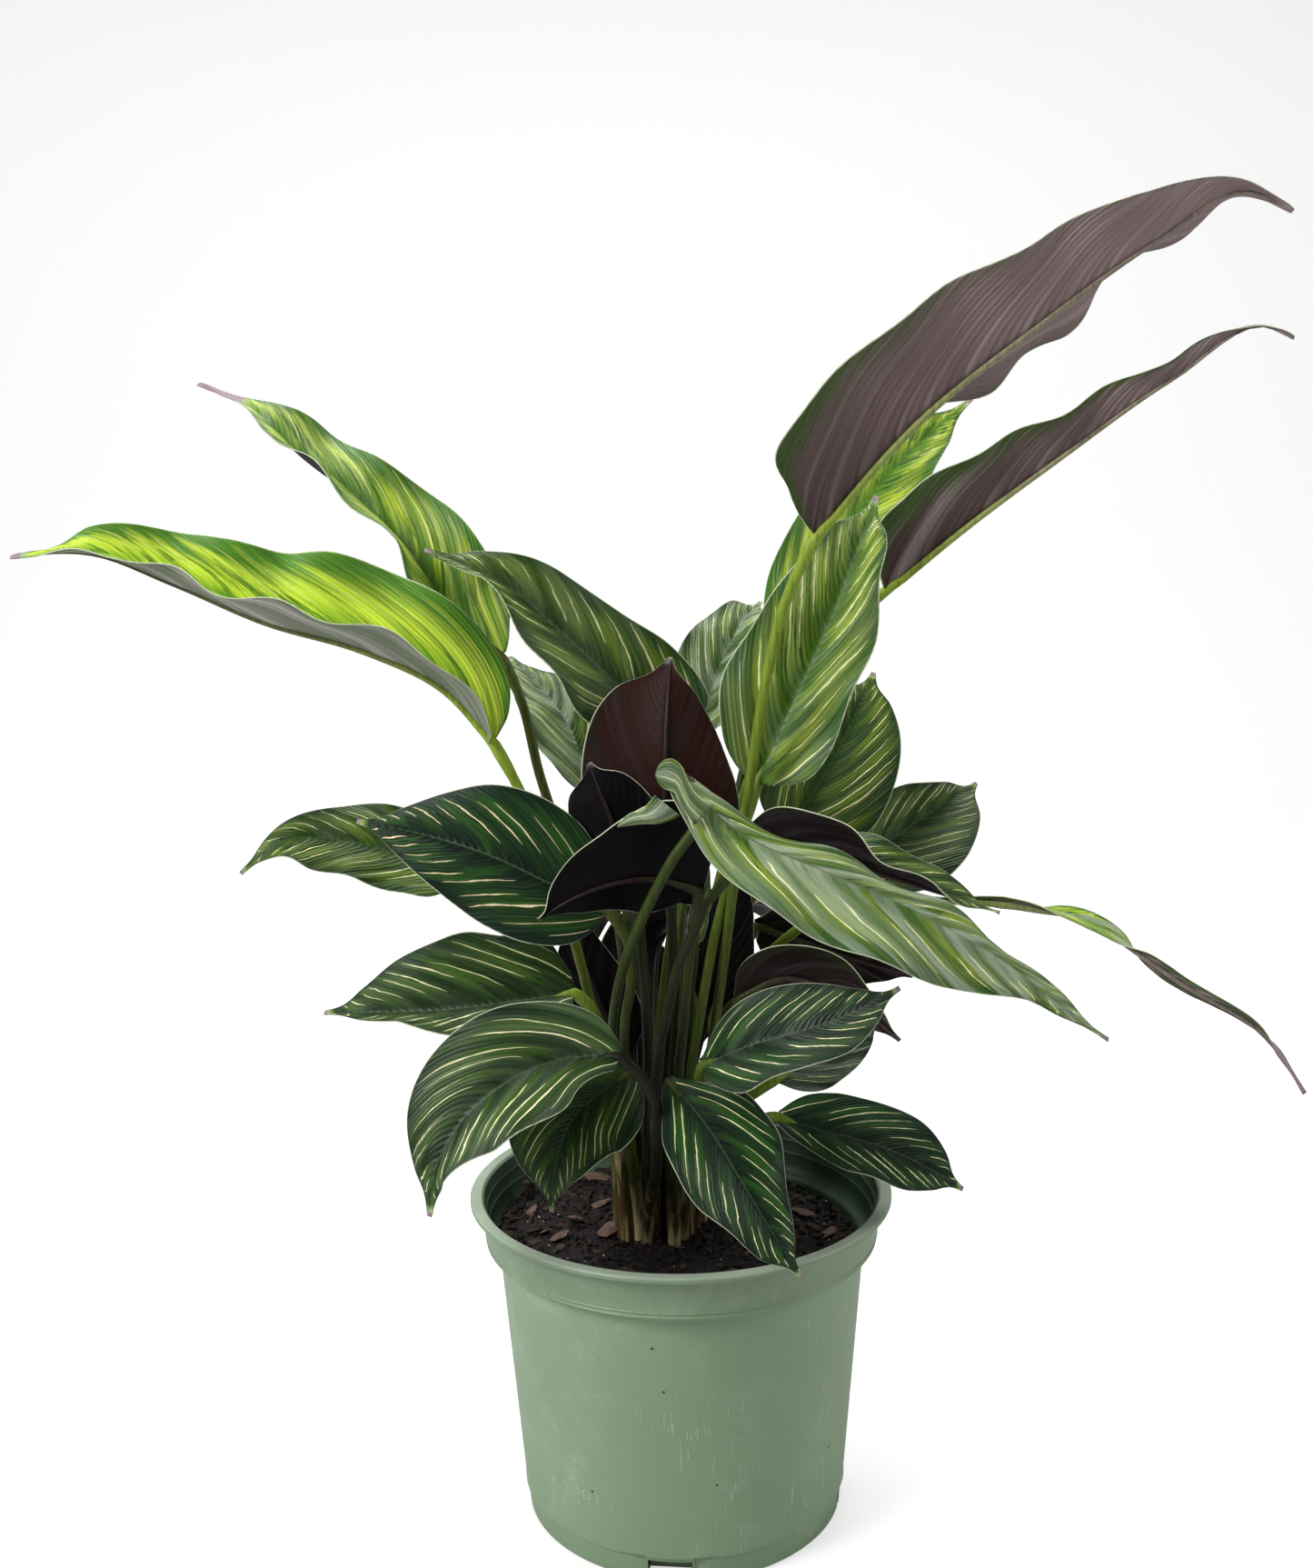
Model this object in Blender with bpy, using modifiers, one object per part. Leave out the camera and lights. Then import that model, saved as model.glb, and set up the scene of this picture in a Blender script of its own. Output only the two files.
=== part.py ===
"""Pinstripe calathea in its nursery pot, as a model for Blender 4.5.

A green moulded pot holds peat, and each leaf is one solid: a petiole that stands in its own plain
hole in the peat, thickens a little below the blade, and spreads into a thin folded blade with a
waved edge. Lengths in the tables are millimetres, and turn to metres where a mesh is made. The
origin is the middle of the pot's underside, +Z is up, and the front of the plant faces -Y.
"""

import math

import bmesh
import bpy
import numpy as np

MM = 0.001

# Driving dimensions of the pot: a 165 mm nursery pot
RIM_RADIUS = 82.5
POT_HEIGHT = 128.5
WALL = 1.8
LIP_HEIGHT = 2.2
BAND_TOP_RADIUS = 79.2
BAND_FOOT_RADIUS = 76.4
BAND_FOOT_HEIGHT = 110.5
BODY_TOP_RADIUS = 71.8
BODY_TOP_HEIGHT = 108.3
BODY_FOOT_RADIUS = 63.9
FOOT_HEIGHT = 11.5
FOOT_RADIUS = 63.2
FOOT_CHAMFER = 1.2
FLOOR = 2.5
FLOOR_FILLET = 2.5
WALL_STEP = 0.6
ROUND = 1.2
POT_STEPS = 40
DRAIN_SLOTS = 4
DRAIN_WIDTH = 16.7
DRAIN_HEIGHT = 8.5
DRAIN_DEPTH = 9.0
FIRST_DRAIN = -96.0

# Driving dimensions of the peat, heaped round the clump of stalks
CLEARANCE = 0.3
PEAT_EDGE_HEIGHT = 112.0
PEAT_HEAP = 7.0
PEAT_STEPS = 36
CUTTER_ABOVE_PEAT = 20.0

# Driving dimensions of every leaf
PETIOLE_RADIUS = 1.9
PULVINUS_RADIUS = 2.3
PULVINUS_LENGTH = 14.0
PETIOLE_DEPTH = 15.0
STRAIGHT_ABOVE_PEAT = 2.0
PETIOLE_GAP = 0.7
HOLE_CLEARANCE = 0.45
BLADE_THICKNESS = 0.8
KEEL = 1.1
TIP_WIDTH = 0.9
NECK_WIDTH = 2.6
FOLD_FULL_WIDTH = 9.0
STATIONS = (0.1, 0.25, 0.4, 0.55, 0.7, 0.85)
COLUMNS = (-1.0, -0.5, 0.0, 0.5, 1.0)
RING_SPACING = 10.5
PETIOLE_RINGS = 7

GREEN = "#2E5A2C"
YOUNG_GREEN = "#7FA32F"
PURPLE = "#33262B"
POT_GREEN = "#7C967C"
PEAT_BROWN = "#1E1916"


def leaf(name, root, petiole, midrib, face, left, right, waves=(3, 1.5), colour=GREEN):
    """One leaf's measures.

    root: where it stands in the peat, x and y. petiole: points between the peat and the blade.
    midrib: points from the blade's base to its tip. face: which way the upper surface looks, from
    base to tip. left and right: how far that half is folded up, in degrees, and its width at each
    of STATIONS along the midrib. waves: how many along the edge, and how high.
    """
    return dict(
        name=name, root=root, petiole=petiole, midrib=midrib, face=face, left=left, right=right,
        waves=waves, colour=colour,
    )


# Left and right are as seen from the leaf's base along the midrib, with the upper surface in view.
LEAVES = [
    # The five long leaves that reach out above the others
    leaf("leaf_top_right", (2.5, -18), [(14, -13, 200), (25, -28, 283)],
         [(50, -40, 381), (84, -45, 419), (123, -45, 449), (164, -40, 477), (197, -35, 494), (214, -30, 488)],
         [(-.6, .75, .3), (-.5, .8, .2), (-.2, .6, .8)],
         ((58, 52, 42, 38, 50, 20), (24, 27, 26, 24, 15, 7)), (15, (35, 33, 30, 24, 20, 8)), (5, 3.0), PURPLE),
    leaf("leaf_right_narrow", (2.5, .5), [(16, 30, 237), (48, 52, 318)],
         [(84, 30, 359), (114, 30, 383), (148, 25, 408), (189, 15, 437), (220, 5, 454), (228, 0, 449)],
         [(-.5, .5, .7), (-.5, .4, .8), (0, .5, .9)],
         (62, (23, 24, 20, 14, 9, 4)), (40, (26, 25, 20, 14, 9, 4)), (5, 2.5), PURPLE),
    leaf("leaf_left_high", (-23.5, 1), [(-38, 18, 238), (-54, 22, 294)],
         [(-67, 28, 336), (-85, 30, 352), (-103, 32, 379), (-123, 34, 399), (-144, 40, 415), (-163, 46, 433),
          (-187, 56, 444)],
         [(-.55, -.75, .4), (-.3, -.8, .5), (0, -.7, .7)],
         ((80, 84, 80, 75, 72, 70), (12, 14, 14, 12, 10, 4)), (-8, (22, 25, 21, 17, 15, 5)), (4, 2.5),
         YOUNG_GREEN),
    leaf("leaf_far_left", (-23.5, -8.5), [(-37, -10, 222), (-56, -14, 285)],
         [(-67, -16, 308), (-83, -20, 328), (-111, -25, 343), (-145, -30, 354), (-176, -32, 368),
          (-204, -34, 379), (-232, -34, 378)],
         [(.1, -.45, .88), (.1, -.45, .88)],
         (50, (20, 26, 25, 20, 13, 6)), (45, (22, 30, 31, 25, 19, 10)), (5, 2.5), YOUNG_GREEN),
    leaf("leaf_right_drooping", (-21, -22.5),
         [(-25, -36, 190), (-22, -50, 222), (-14, -61, 248), (-7, -64, 263), (1, -65, 276), (10, -65, 283),
          (8, -67, 295)],
         [(-2, -72, 304), (5, -75, 297), (17, -77, 286), (49, -84, 271), (75, -89, 260), (109, -92, 240),
          (128, -90, 224), (143, -86, 213)],
         [(-.1, -.6, .8), (.2, -.7, .7), (.3, -.75, .6)],
         (-32, (10, 19, 20, 18, 14, 9)), (-5, (10, 20, 24, 23, 16, 4)), (4, 2.0)),
    # The upright leaves at the back and in the middle
    leaf("leaf_back_right_high", (0, 5), [(17, 30, 232), (34, 55, 303)],
         [(42, 62, 326), (64, 80, 368), (97, 95, 408), (131, 105, 437)],
         [(.2, -.9, .4), (.2, -.8, .6)],
         (10, (12, 18, 20, 18, 14, 8)), (10, (16, 22, 22, 20, 16, 9)), (4, 2.0)),
    leaf("leaf_right_upright", (-3, -8.5), [(10, -18, 212), (24, -18, 268)],
         [(30, -18, 291), (45, -14, 323), (59, -5, 351), (78, 15, 395)],
         [(.1, -.95, .3), (-.1, -.9, .5)],
         (12, (20, 28, 26, 24, 19, 12)), (40, (22, 24, 25, 22, 17, 11)), (3, 2.0)),
    leaf("leaf_right_striped", (-2.5, .5), [(16, 10, 208), (35, 20, 249)],
         [(43, 24, 262), (56, 30, 280), (67, 36, 297), (82, 50, 325)],
         [(.1, -.9, .4), (-.1, -.8, .6)],
         (38, (22, 24, 24, 20, 15, 8)), (8, (18, 27, 28, 26, 21, 12)), (2, 1.5)),
    leaf("leaf_right_short", (2.5, 10), [(24, 32, 195), (55, 42, 232)],
         [(70, 42, 244), (85, 48, 253), (102, 55, 263), (128, 68, 276)],
         [(-.2, -.85, .6), (-.2, -.8, .7)],
         (50, (12, 15, 18, 17, 12, 6)), (0, (18, 25, 28, 27, 22, 14)), (2, 1.5)),
    leaf("leaf_back_centre", (-5.5, 5), [(0, 30, 202), (9, 60, 280)],
         [(12, 70, 299), (20, 85, 323), (30, 100, 341), (41, 122, 351)],
         [(0, -.8, .6), (.1, -.5, .9)],
         (15, (12, 17, 19, 17, 13, 8)), (20, (12, 17, 18, 16, 12, 7)), (3, 2.0)),
    leaf("leaf_left_upright", (-13, -8.5), [(-4, -2, 219), (4, 5, 274)],
         [(2, 8, 299), (-22, 5, 327), (-41, 0, 346), (-62, -8, 365), (-89, -18, 378)],
         [(-.1, -.85, .5), (.1, -.8, .6), (.2, -.6, .8)],
         (25, (18, 23, 26, 23, 18, 8)), (20, (24, 25, 21, 19, 15, 8)), (3, 2.0)),
    leaf("leaf_back_left", (-16, 5), [(-20, 30, 203), (-29, 50, 255)],
         [(-34, 56, 277), (-43, 70, 302), (-55, 85, 317), (-70, 100, 330)],
         [(.1, -.7, .7), (.3, -.6, .8)],
         (10, (11, 16, 18, 17, 14, 9)), (10, (11, 15, 15, 14, 10, 6)), (3, 2.0)),
    leaf("leaf_centre_upright", (-10.5, -13), [(-4, -15, 191), (-2, -16, 240)],
         [(-3, -18, 256), (-4, -24, 286), (-3, -20, 313), (-1, -8, 337)],
         [(0, .95, .2), (0, .95, .3), (0, .9, -.5)],
         (10, (24, 28, 27, 23, 18, 10)), (10, (20, 28, 31, 31, 28, 20)), (2, 1.5), PURPLE),
    leaf("leaf_centre_small", (-13, -18), [(-12, -22, 200), (-14, -26, 239)],
         [(-15, -28, 252), (-20, -32, 271), (-26, -32, 288), (-31, -28, 301)],
         [(0, .9, .4), (0, .9, .5)],
         (8, (8, 11, 15, 17, 15, 10)), (8, (7, 10, 13, 15, 15, 12)), (2, .8), PURPLE),
    leaf("leaf_centre_dark", (-10.5, -22.5), [(-8, -30, 190), (0, -39, 228)],
         [(7, -46, 257), (-7, -51, 263), (-24, -54, 262), (-38, -56, 257), (-49, -56, 250)],
         [(0, .95, .3), (0, .95, .3), (-.3, .9, .4)],
         (10, (23, 29, 24, 18, 13, 7)), (10, (14, 16, 15, 13, 9, 4)), (2, 1.5), PURPLE),
    # The leaves that spread to the sides
    leaf("leaf_right_folded", (-3, -18), [(0, -25, 186), (2, -28, 205), (4, -31, 226), (8, -35, 246), (19, -38, 261)],
         [(25, -38, 276), (44, -39, 273), (66, -41, 264), (85, -44, 258), (114, -48, 248)],
         [(.3, .8, .6), (.3, 0, 1), (.3, -.5, .8)],
         (40, (12, 16, 17, 14, 10, 5)), (30, (12, 16, 17, 14, 10, 5)), (3, 1.5), PURPLE),
    leaf("leaf_right_twisted", (7.5, -8.5), [(19, 0, 196), (47, -8, 234)],
         [(87, -15, 247), (124, -18, 244), (150, -20, 239), (186, -26, 215), (216, -30, 196), (231, -34, 174)],
         [(0, -.2, 1), (0, .85, .5), (0, -.85, .5), (0, .85, .4), (0, .5, .85), (0, -.9, .4)],
         (15, (2.6, 3.4, 3.6, 3.2, 2.8, 3.4)), (15, (2.6, 3.4, 3.6, 3.2, 2.8, 3.4)), (3, .4)),
    leaf("leaf_left_broad", (-18.5, -18), [(-20, -30, 204), (-18, -34, 236)],
         [(-25, -36, 248), (-46, -38, 259), (-67, -36, 269), (-90, -32, 276), (-116, -28, 281)],
         [(-.1, -.8, .6), (0, -.75, .65)],
         (-5, (18, 24, 24, 21, 16, 8)), (15, (16, 25, 27, 25, 18, 8)), (2, 1.5)),
    leaf("leaf_left_behind", (-21, -4), [(-45, 10, 209), (-71, 16, 243)],
         [(-84, 18, 250), (-109, 20, 259), (-129, 18, 265), (-152, 10, 267), (-167, 2, 256)],
         [(0, -.7, .7), (0, -.8, .6)],
         (0, (14, 16, 16, 15, 13, 5)), (15, (13, 18, 18, 14, 9, 4)), (3, 1.5)),
    leaf("leaf_left_low", (-23.5, -18), [(-28, -26, 184), (-32, -32, 210)],
         [(-38, -34, 217), (-62, -38, 215), (-88, -40, 213), (-112, -38, 212), (-130, -34, 211)],
         [(.1, -.75, .65), (.1, -.75, .65)],
         (40, (14, 22, 21, 15, 8, 3)), (15, (23, 25, 28, 25, 20, 9)), (2, 1.2)),
    leaf("leaf_left_arching", (-13, -27), [(-9, -57, 168), (-12, -65, 192)],
         [(-21, -66, 203), (-41, -67, 203), (-60, -73, 197), (-77, -77, 183), (-85, -81, 168), (-87, -83, 153)],
         [(.2, -.75, .6), (-.1, -.85, .5), (-.5, -.8, .3)],
         (33, (12, 22, 25, 24, 18, 9)), (10, (15, 22, 25, 24, 18, 8)), (3, 1.2)),
    leaf("leaf_front_left", (-16, -22.5), [(-19, -37, 171)],
         [(-17, -43, 190), (-28, -49, 185), (-39, -54, 176), (-45, -58, 161), (-47, -58, 143)],
         [(-.3, -.8, .5), (-.4, -.9, .3)],
         (5, (16, 22, 22, 19, 13, 5)), (30, (8, 15, 19, 21, 16, 6)), (2, 1.2)),
    leaf("leaf_front", (-3, -27), [(-4, -48, 170)],
         [(-4, -50, 188), (9, -66, 177), (21, -80, 161), (32, -88, 144), (40, -90, 132)],
         [(.3, -.7, .6), (.5, -.8, .3)],
         (5, (11, 21, 22, 18, 12, 6)), (-10, (9, 17, 19, 18, 13, 8)), (3, 1.2)),
    leaf("leaf_front_right", (0, -22.5), [(9, -40, 172)],
         [(8, -50, 194), (24, -62, 205), (38, -68, 211), (57, -70, 218), (75, -72, 228)],
         [(-.1, -.8, .6), (-.1, -.7, .7)],
         (10, (9, 15, 18, 17, 13, 6)), (10, (11, 17, 15, 15, 14, 8)), (2, 1.0)),
    leaf("leaf_right_low", (5, -13), [(18, -14, 150)],
         [(37, -20, 163), (53, -24, 159), (72, -28, 155), (90, -32, 148), (105, -34, 139)],
         [(0, -.7, .7), (.2, -.8, .6)],
         (0, (12, 16, 17, 17, 15, 9)), (15, (7, 11, 15, 15, 14, 8)), (2, 1.0)),
    leaf("leaf_back_right_low", (7.5, .5), [(22, 6, 157)],
         [(39, 12, 167), (54, 18, 171), (67, 20, 177), (81, 22, 187)],
         [(0, -.6, .8), (0, -.7, .7)],
         (5, (9, 12, 13, 12, 9, 5)), (5, (9, 12, 13, 12, 9, 5)), (2, 1.0)),
    leaf("leaf_back_right_dark", (5, 5), [(15, 12, 180), (27, 18, 220)],
         [(32, 20, 228), (50, 18, 222), (72, 12, 215), (92, 6, 210)],
         [(.2, .95, .3), (.2, .95, .3)],
         (10, (14, 21, 22, 19, 13, 6)), (10, (11, 15, 17, 16, 12, 6)), (2, 1.0), PURPLE),
    leaf("leaf_right_dark", (5, -4), [(12, -8, 173), (17, -10, 199)],
         [(23, -12, 207), (40, -14, 216), (56, -18, 213), (70, -24, 205), (82, -28, 195)],
         [(.2, .9, .4), (.4, .8, .4)],
         (8, (14, 23, 25, 21, 14, 6)), (8, (10, 14, 15, 14, 10, 5)), (2, 1.0), PURPLE),
    # The short inner leaves, and the rolled new leaf
    leaf("leaf_inner_left", (-16, -4), [(-19, 2, 167)],
         [(-21, 2, 181), (-31, 2, 203), (-37, 4, 222), (-38, 10, 240)],
         [(-.2, .9, .2), (-.2, .9, .3)],
         (10, (12, 15, 15, 13, 10, 5)), (10, (6, 12, 15, 14, 10, 5)), (1, .8), PURPLE),
    leaf("leaf_inner_olive", (-5.5, -4), [(14, 4, 169)],
         [(14, 4, 196), (18, 2, 219), (22, 2, 241), (24, 6, 259)],
         [(0, .9, .2), (0, .9, .3)],
         (10, (8, 11, 12, 10, 8, 4)), (10, (8, 11, 12, 10, 8, 4)), (1, .5)),
    leaf("leaf_new_spear", (-5.5, -13), [(3, -12, 189)],
         [(6, -12, 227), (9, -12, 246), (11, -12, 265)],
         [(0, -.9, .2), (0, -.9, .3)],
         (60, (3, 4, 4, 4, 3, 2)), (60, (3, 4, 4, 4, 3, 2)), (1, 0), PURPLE),
    # Three arching leaves behind the clump, which the front view hides
    leaf("leaf_back_low_left", (-13, 10), [(-17, 25, 189), (-19, 42, 219)],
         [(-20, 50, 228), (-32, 80, 227), (-42, 105, 211), (-47, 125, 181)],
         [(0, .2, 1), (0, .8, .6)],
         (15, (14, 21, 23, 21, 15, 8)), (15, (14, 21, 23, 21, 15, 8)), (3, 1.5)),
    leaf("leaf_back_low_middle", (-8, 10), [(-8, 30, 142)],
         [(-8, 42, 162), (-9, 46, 190), (-7, 55, 212), (-1, 78, 216), (8, 108, 201), (9, 135, 174)],
         [(0, .97, .2), (0, .9, .4), (0, .2, 1), (0, .8, .6)],
         (5, (24, 30, 24, 18, 14, 8)), (5, (23, 27, 20, 16, 13, 8)), (3, 1.5)),
    leaf("leaf_back_low_right", (-2.5, 10), [(9, 22, 189), (16, 38, 215)],
         [(18, 48, 224), (33, 78, 225), (52, 105, 210), (68, 125, 184)],
         [(0, .2, 1), (.3, .8, .6)],
         (15, (14, 21, 23, 21, 15, 8)), (15, (14, 21, 23, 21, 15, 8)), (3, 1.5)),
]


def peat_height(radius):
    """How high the peat's top is at a distance from the pot's axis, in millimetres."""
    return PEAT_EDGE_HEIGHT + PEAT_HEAP * (1 - (radius / BAND_FOOT_RADIUS) ** 1.5)


def unit(vectors):
    return vectors / np.linalg.norm(vectors, axis=-1, keepdims=True)


def smooth_curve(points, steps=10):
    """Points along the Catmull-Rom curve through the given ones, by chord length."""
    points = np.array(points, float)
    chord = np.linalg.norm(np.diff(points, axis=0), axis=1)[:, None]
    slope = np.diff(points, axis=0) / chord
    inner = (slope[:-1] * chord[1:] + slope[1:] * chord[:-1]) / (chord[:-1] + chord[1:])
    ends = 1.5 * slope[[0, -1]] - 0.5 * inner[[0, -1]] if len(inner) else slope[[0, -1]]
    tangent = np.vstack([ends[:1], inner, ends[1:]])
    found = []
    for i in range(len(points) - 1):
        s = np.linspace(0, 1, steps, endpoint=False)[:, None]
        start = (2 * s**3 - 3 * s**2 + 1) * points[i] + (3 * s**2 - 2 * s**3) * points[i + 1]
        bend = (s**3 - 2 * s**2 + s) * tangent[i] + (s**3 - s**2) * tangent[i + 1]
        found.append(start + chord[i] * bend)
    return np.vstack(found + [points[-1:]])


def spread(points, shares):
    """The points at these shares of a curve's length, and the length."""
    run = np.concatenate([[0], np.cumsum(np.linalg.norm(np.diff(points, axis=0), axis=1))])
    at = np.asarray(shares) * run[-1]
    return np.stack([np.interp(at, run, points[:, k]) for k in range(3)], axis=1), run[-1]


def petiole_route(item):
    """The petiole's middle line from the peat's top to the blade's base, as 24 points."""
    x, y = item["root"]
    top = peat_height(math.hypot(x, y)) + STRAIGHT_ABOVE_PEAT
    points = [(x, y, top - 8), (x, y, top)] + item["petiole"] + item["midrib"][:2]
    return spread(smooth_curve(points)[10:-10], np.linspace(0, 1, 24))[0]


def part_petioles(routes):
    """Bends petioles that would cross clear of each other, with their feet and tops held."""
    drawn = np.array(routes)
    routes = drawn.copy()
    count, steps, _ = routes.shape
    reach = 2 * PETIOLE_RADIUS + PETIOLE_GAP
    place = np.arange(steps)
    hold = np.minimum(1, np.minimum(place / 4, (steps - 1 - place) / 2))[None, :, None]
    for _ in range(80):
        push = np.zeros_like(routes)
        start = routes[:, :-1].reshape(-1, 3)
        along = routes[:, 1:].reshape(-1, 3) - start
        square = (along**2).sum(1)
        for i in range(count):
            away = routes[i][:, None] - start[None]
            share = np.clip((away * along).sum(2) / square, 0, 1)
            away -= share[:, :, None] * along
            apart = np.linalg.norm(away, axis=2)
            apart[:, i * (steps - 1) : (i + 1) * (steps - 1)] = np.inf
            nearest = apart.argmin(axis=1)
            gap = apart[place, nearest]
            close = gap < reach
            direction = away[place, nearest] / gap[:, None]
            push[i] += np.where(close, (reach - gap) * 0.5, 0)[:, None] * direction
        routes += push * hold
        moved = routes - drawn
        evened = 0.5 * moved[:, 1:-1] + 0.25 * (moved[:, :-2] + moved[:, 2:])
        routes[:, 1:-1] += (evened - moved[:, 1:-1]) * hold[:, 1:-1] * 0.3
    return routes


def half_width(share, widths):
    """The width of half a blade at a share of its length: a round base and a drawn-out tip."""
    places = (0.0, 0.03) + STATIONS + (0.95, 1.0)
    sizes = (NECK_WIDTH, 0.55 * widths[0]) + tuple(widths) + (0.22 * widths[-1], TIP_WIDTH)
    curve = smooth_curve([(60 * place, size, 0) for place, size in zip(places, sizes)])
    return np.maximum(np.interp(np.asarray(share) * 60, curve[:, 0], curve[:, 1]), TIP_WIDTH)


def leaf_rings(item, route):
    """The leaf's sections from the petiole's foot to the blade's tip, each a ring of ten points."""
    blade_line = smooth_curve(item["midrib"])
    length = spread(blade_line, [0])[1]
    count = max(8, round(length / RING_SPACING))
    even = np.linspace(0, 1, count + 1)
    share = 0.55 * even + 0.45 * (0.5 - 0.5 * np.cos(np.pi * even))
    blade = spread(blade_line, share)[0]
    stalk, stalk_length = spread(route, [0])
    pulvinus = 1 - PULVINUS_LENGTH / stalk_length
    stalk_share = np.append(np.linspace(0, pulvinus - 0.02, PETIOLE_RINGS), [(1 + pulvinus) / 2])
    foot = route[0] - [0, 0, STRAIGHT_ABOVE_PEAT + PETIOLE_DEPTH]
    stalk = np.vstack([foot, spread(route, stalk_share)[0]])
    line = np.vstack([stalk, blade])
    tangent = unit(np.gradient(line, axis=0))
    first = len(stalk)

    faces = unit(np.array(item["face"], float))
    at = np.linspace(0, 1, len(faces))
    normal = np.stack([np.interp(share, at, faces[:, k]) for k in range(3)], axis=1)
    normal = np.vstack([np.zeros((first, 3)), normal])
    for i in range(len(line) - 1, -1, -1):
        if i < first:
            normal[i] = normal[i + 1]
        normal[i] -= normal[i] @ tangent[i] * tangent[i]
        normal[i] /= np.linalg.norm(normal[i])
    side = np.cross(tangent, normal)

    rings = []
    for i in range(first):
        radius = PULVINUS_RADIUS if i == first - 1 else PETIOLE_RADIUS
        turn = np.radians([162, 126, 90, 54, 18, -18, -54, -90, -126, -162])[:, None]
        rings.append(line[i] + radius * (np.cos(turn) * side[i] + np.sin(turn) * normal[i]))
    count, height = item["waves"]
    thickness = BLADE_THICKNESS / 2
    for i, t in enumerate(share):
        upper, lower = [], []
        middle, s, n = blade[i], side[first + i], normal[first + i]
        for v in COLUMNS:
            fold, widths = item["left"] if v < 0 else item["right"]
            width = half_width(t, widths)
            angle = np.interp(t, STATIONS, fold) if isinstance(fold, tuple) else fold
            angle = math.radians(angle * min(1, width / FOLD_FULL_WIDTH))
            out = math.copysign(1, v)
            across = math.cos(angle) * out * s + math.sin(angle) * n
            up = math.cos(angle) * n - math.sin(angle) * out * s
            fade = math.sqrt(math.sin(math.pi * t)) if 0 < t < 1 else 0
            wave = height * v * v * fade * math.sin(2 * math.pi * (count * t + 0.19 * out))
            point = middle + abs(v) * width * across + wave * up
            if v == 0:
                keel = KEEL * (1 - t) ** 0.7
                upper.append(middle + thickness * n)
                lower.append(middle - (thickness + keel) * n)
            else:
                upper.append(point + thickness * up)
                lower.append(point - thickness * up)
        rings.append(np.array(upper + lower[::-1]))
    return rings


def colour_of(text):
    """The linear colour of an sRGB hex value."""
    values = [int(text[i : i + 2], 16) / 255 for i in (1, 3, 5)]
    return [v / 12.92 if v <= 0.04045 else ((v + 0.055) / 1.055) ** 2.4 for v in values] + [1.0]


def material(name, text, roughness):
    made = bpy.data.materials.new(name)
    made.use_nodes = True
    shader = made.node_tree.nodes["Principled BSDF"]
    shader.inputs["Base Color"].default_value = colour_of(text)
    shader.inputs["Roughness"].default_value = roughness
    shader.inputs["Metallic"].default_value = 0.0
    return made


def add_object(name, bm, collection, finish):
    mesh = bpy.data.meshes.new(name)
    bm.to_mesh(mesh)
    bm.free()
    made = bpy.data.objects.new(name, mesh)
    collection.objects.link(made)
    if finish:
        mesh.materials.append(finish)
    mesh.shade_smooth()
    mesh.set_sharp_from_angle(angle=math.radians(40))
    return made


def make_leaf(item, route, collection):
    """A loft through the leaf's rings, split into triangles alike on its two faces."""
    rings = leaf_rings(item, route)
    bm = bmesh.new()
    loops = [[bm.verts.new(point * MM) for point in ring] for ring in rings]
    size = len(loops[0])
    for near, far in zip(loops, loops[1:]):
        for k in range(size):
            a, b, c, d = near[k], near[(k + 1) % size], far[(k + 1) % size], far[k]
            if k < size // 2:
                bm.faces.new((a, b, c))
                bm.faces.new((a, c, d))
            else:
                bm.faces.new((a, b, d))
                bm.faces.new((b, c, d))
    bm.faces.new(loops[0])
    bm.faces.new(loops[-1][::-1])
    bmesh.ops.recalc_face_normals(bm, faces=bm.faces)
    roughness = 0.45 if item["colour"] == PURPLE else 0.35
    finish = material(item["name"], item["colour"], roughness)
    return add_object(item["name"], bm, collection, finish)


def turned(name, profile, steps, collection, finish):
    """A turned solid from its profile, which runs down the outside and ends on the axis."""
    bm = bmesh.new()
    points = [bm.verts.new((radius * MM, 0, height * MM)) for radius, height in profile]
    for start, end in zip(points, points[1:]):
        bm.edges.new((start, end))
    made = add_object(name, bm, collection, finish)
    screw = made.modifiers.new("Screw", "SCREW")
    screw.steps = screw.render_steps = steps
    screw.use_merge_vertices = True
    screw.merge_threshold = 0.00001
    return made


def cut(target, cutter):
    boolean = target.modifiers.new("Cut " + cutter.name, "BOOLEAN")
    boolean.operation = "DIFFERENCE"
    boolean.solver = "EXACT"
    boolean.object = cutter


def cutter_object(name, bm, collection):
    made = add_object(name, bm, collection, None)
    made.hide_render = True
    made.display_type = "WIRE"
    return made


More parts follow.
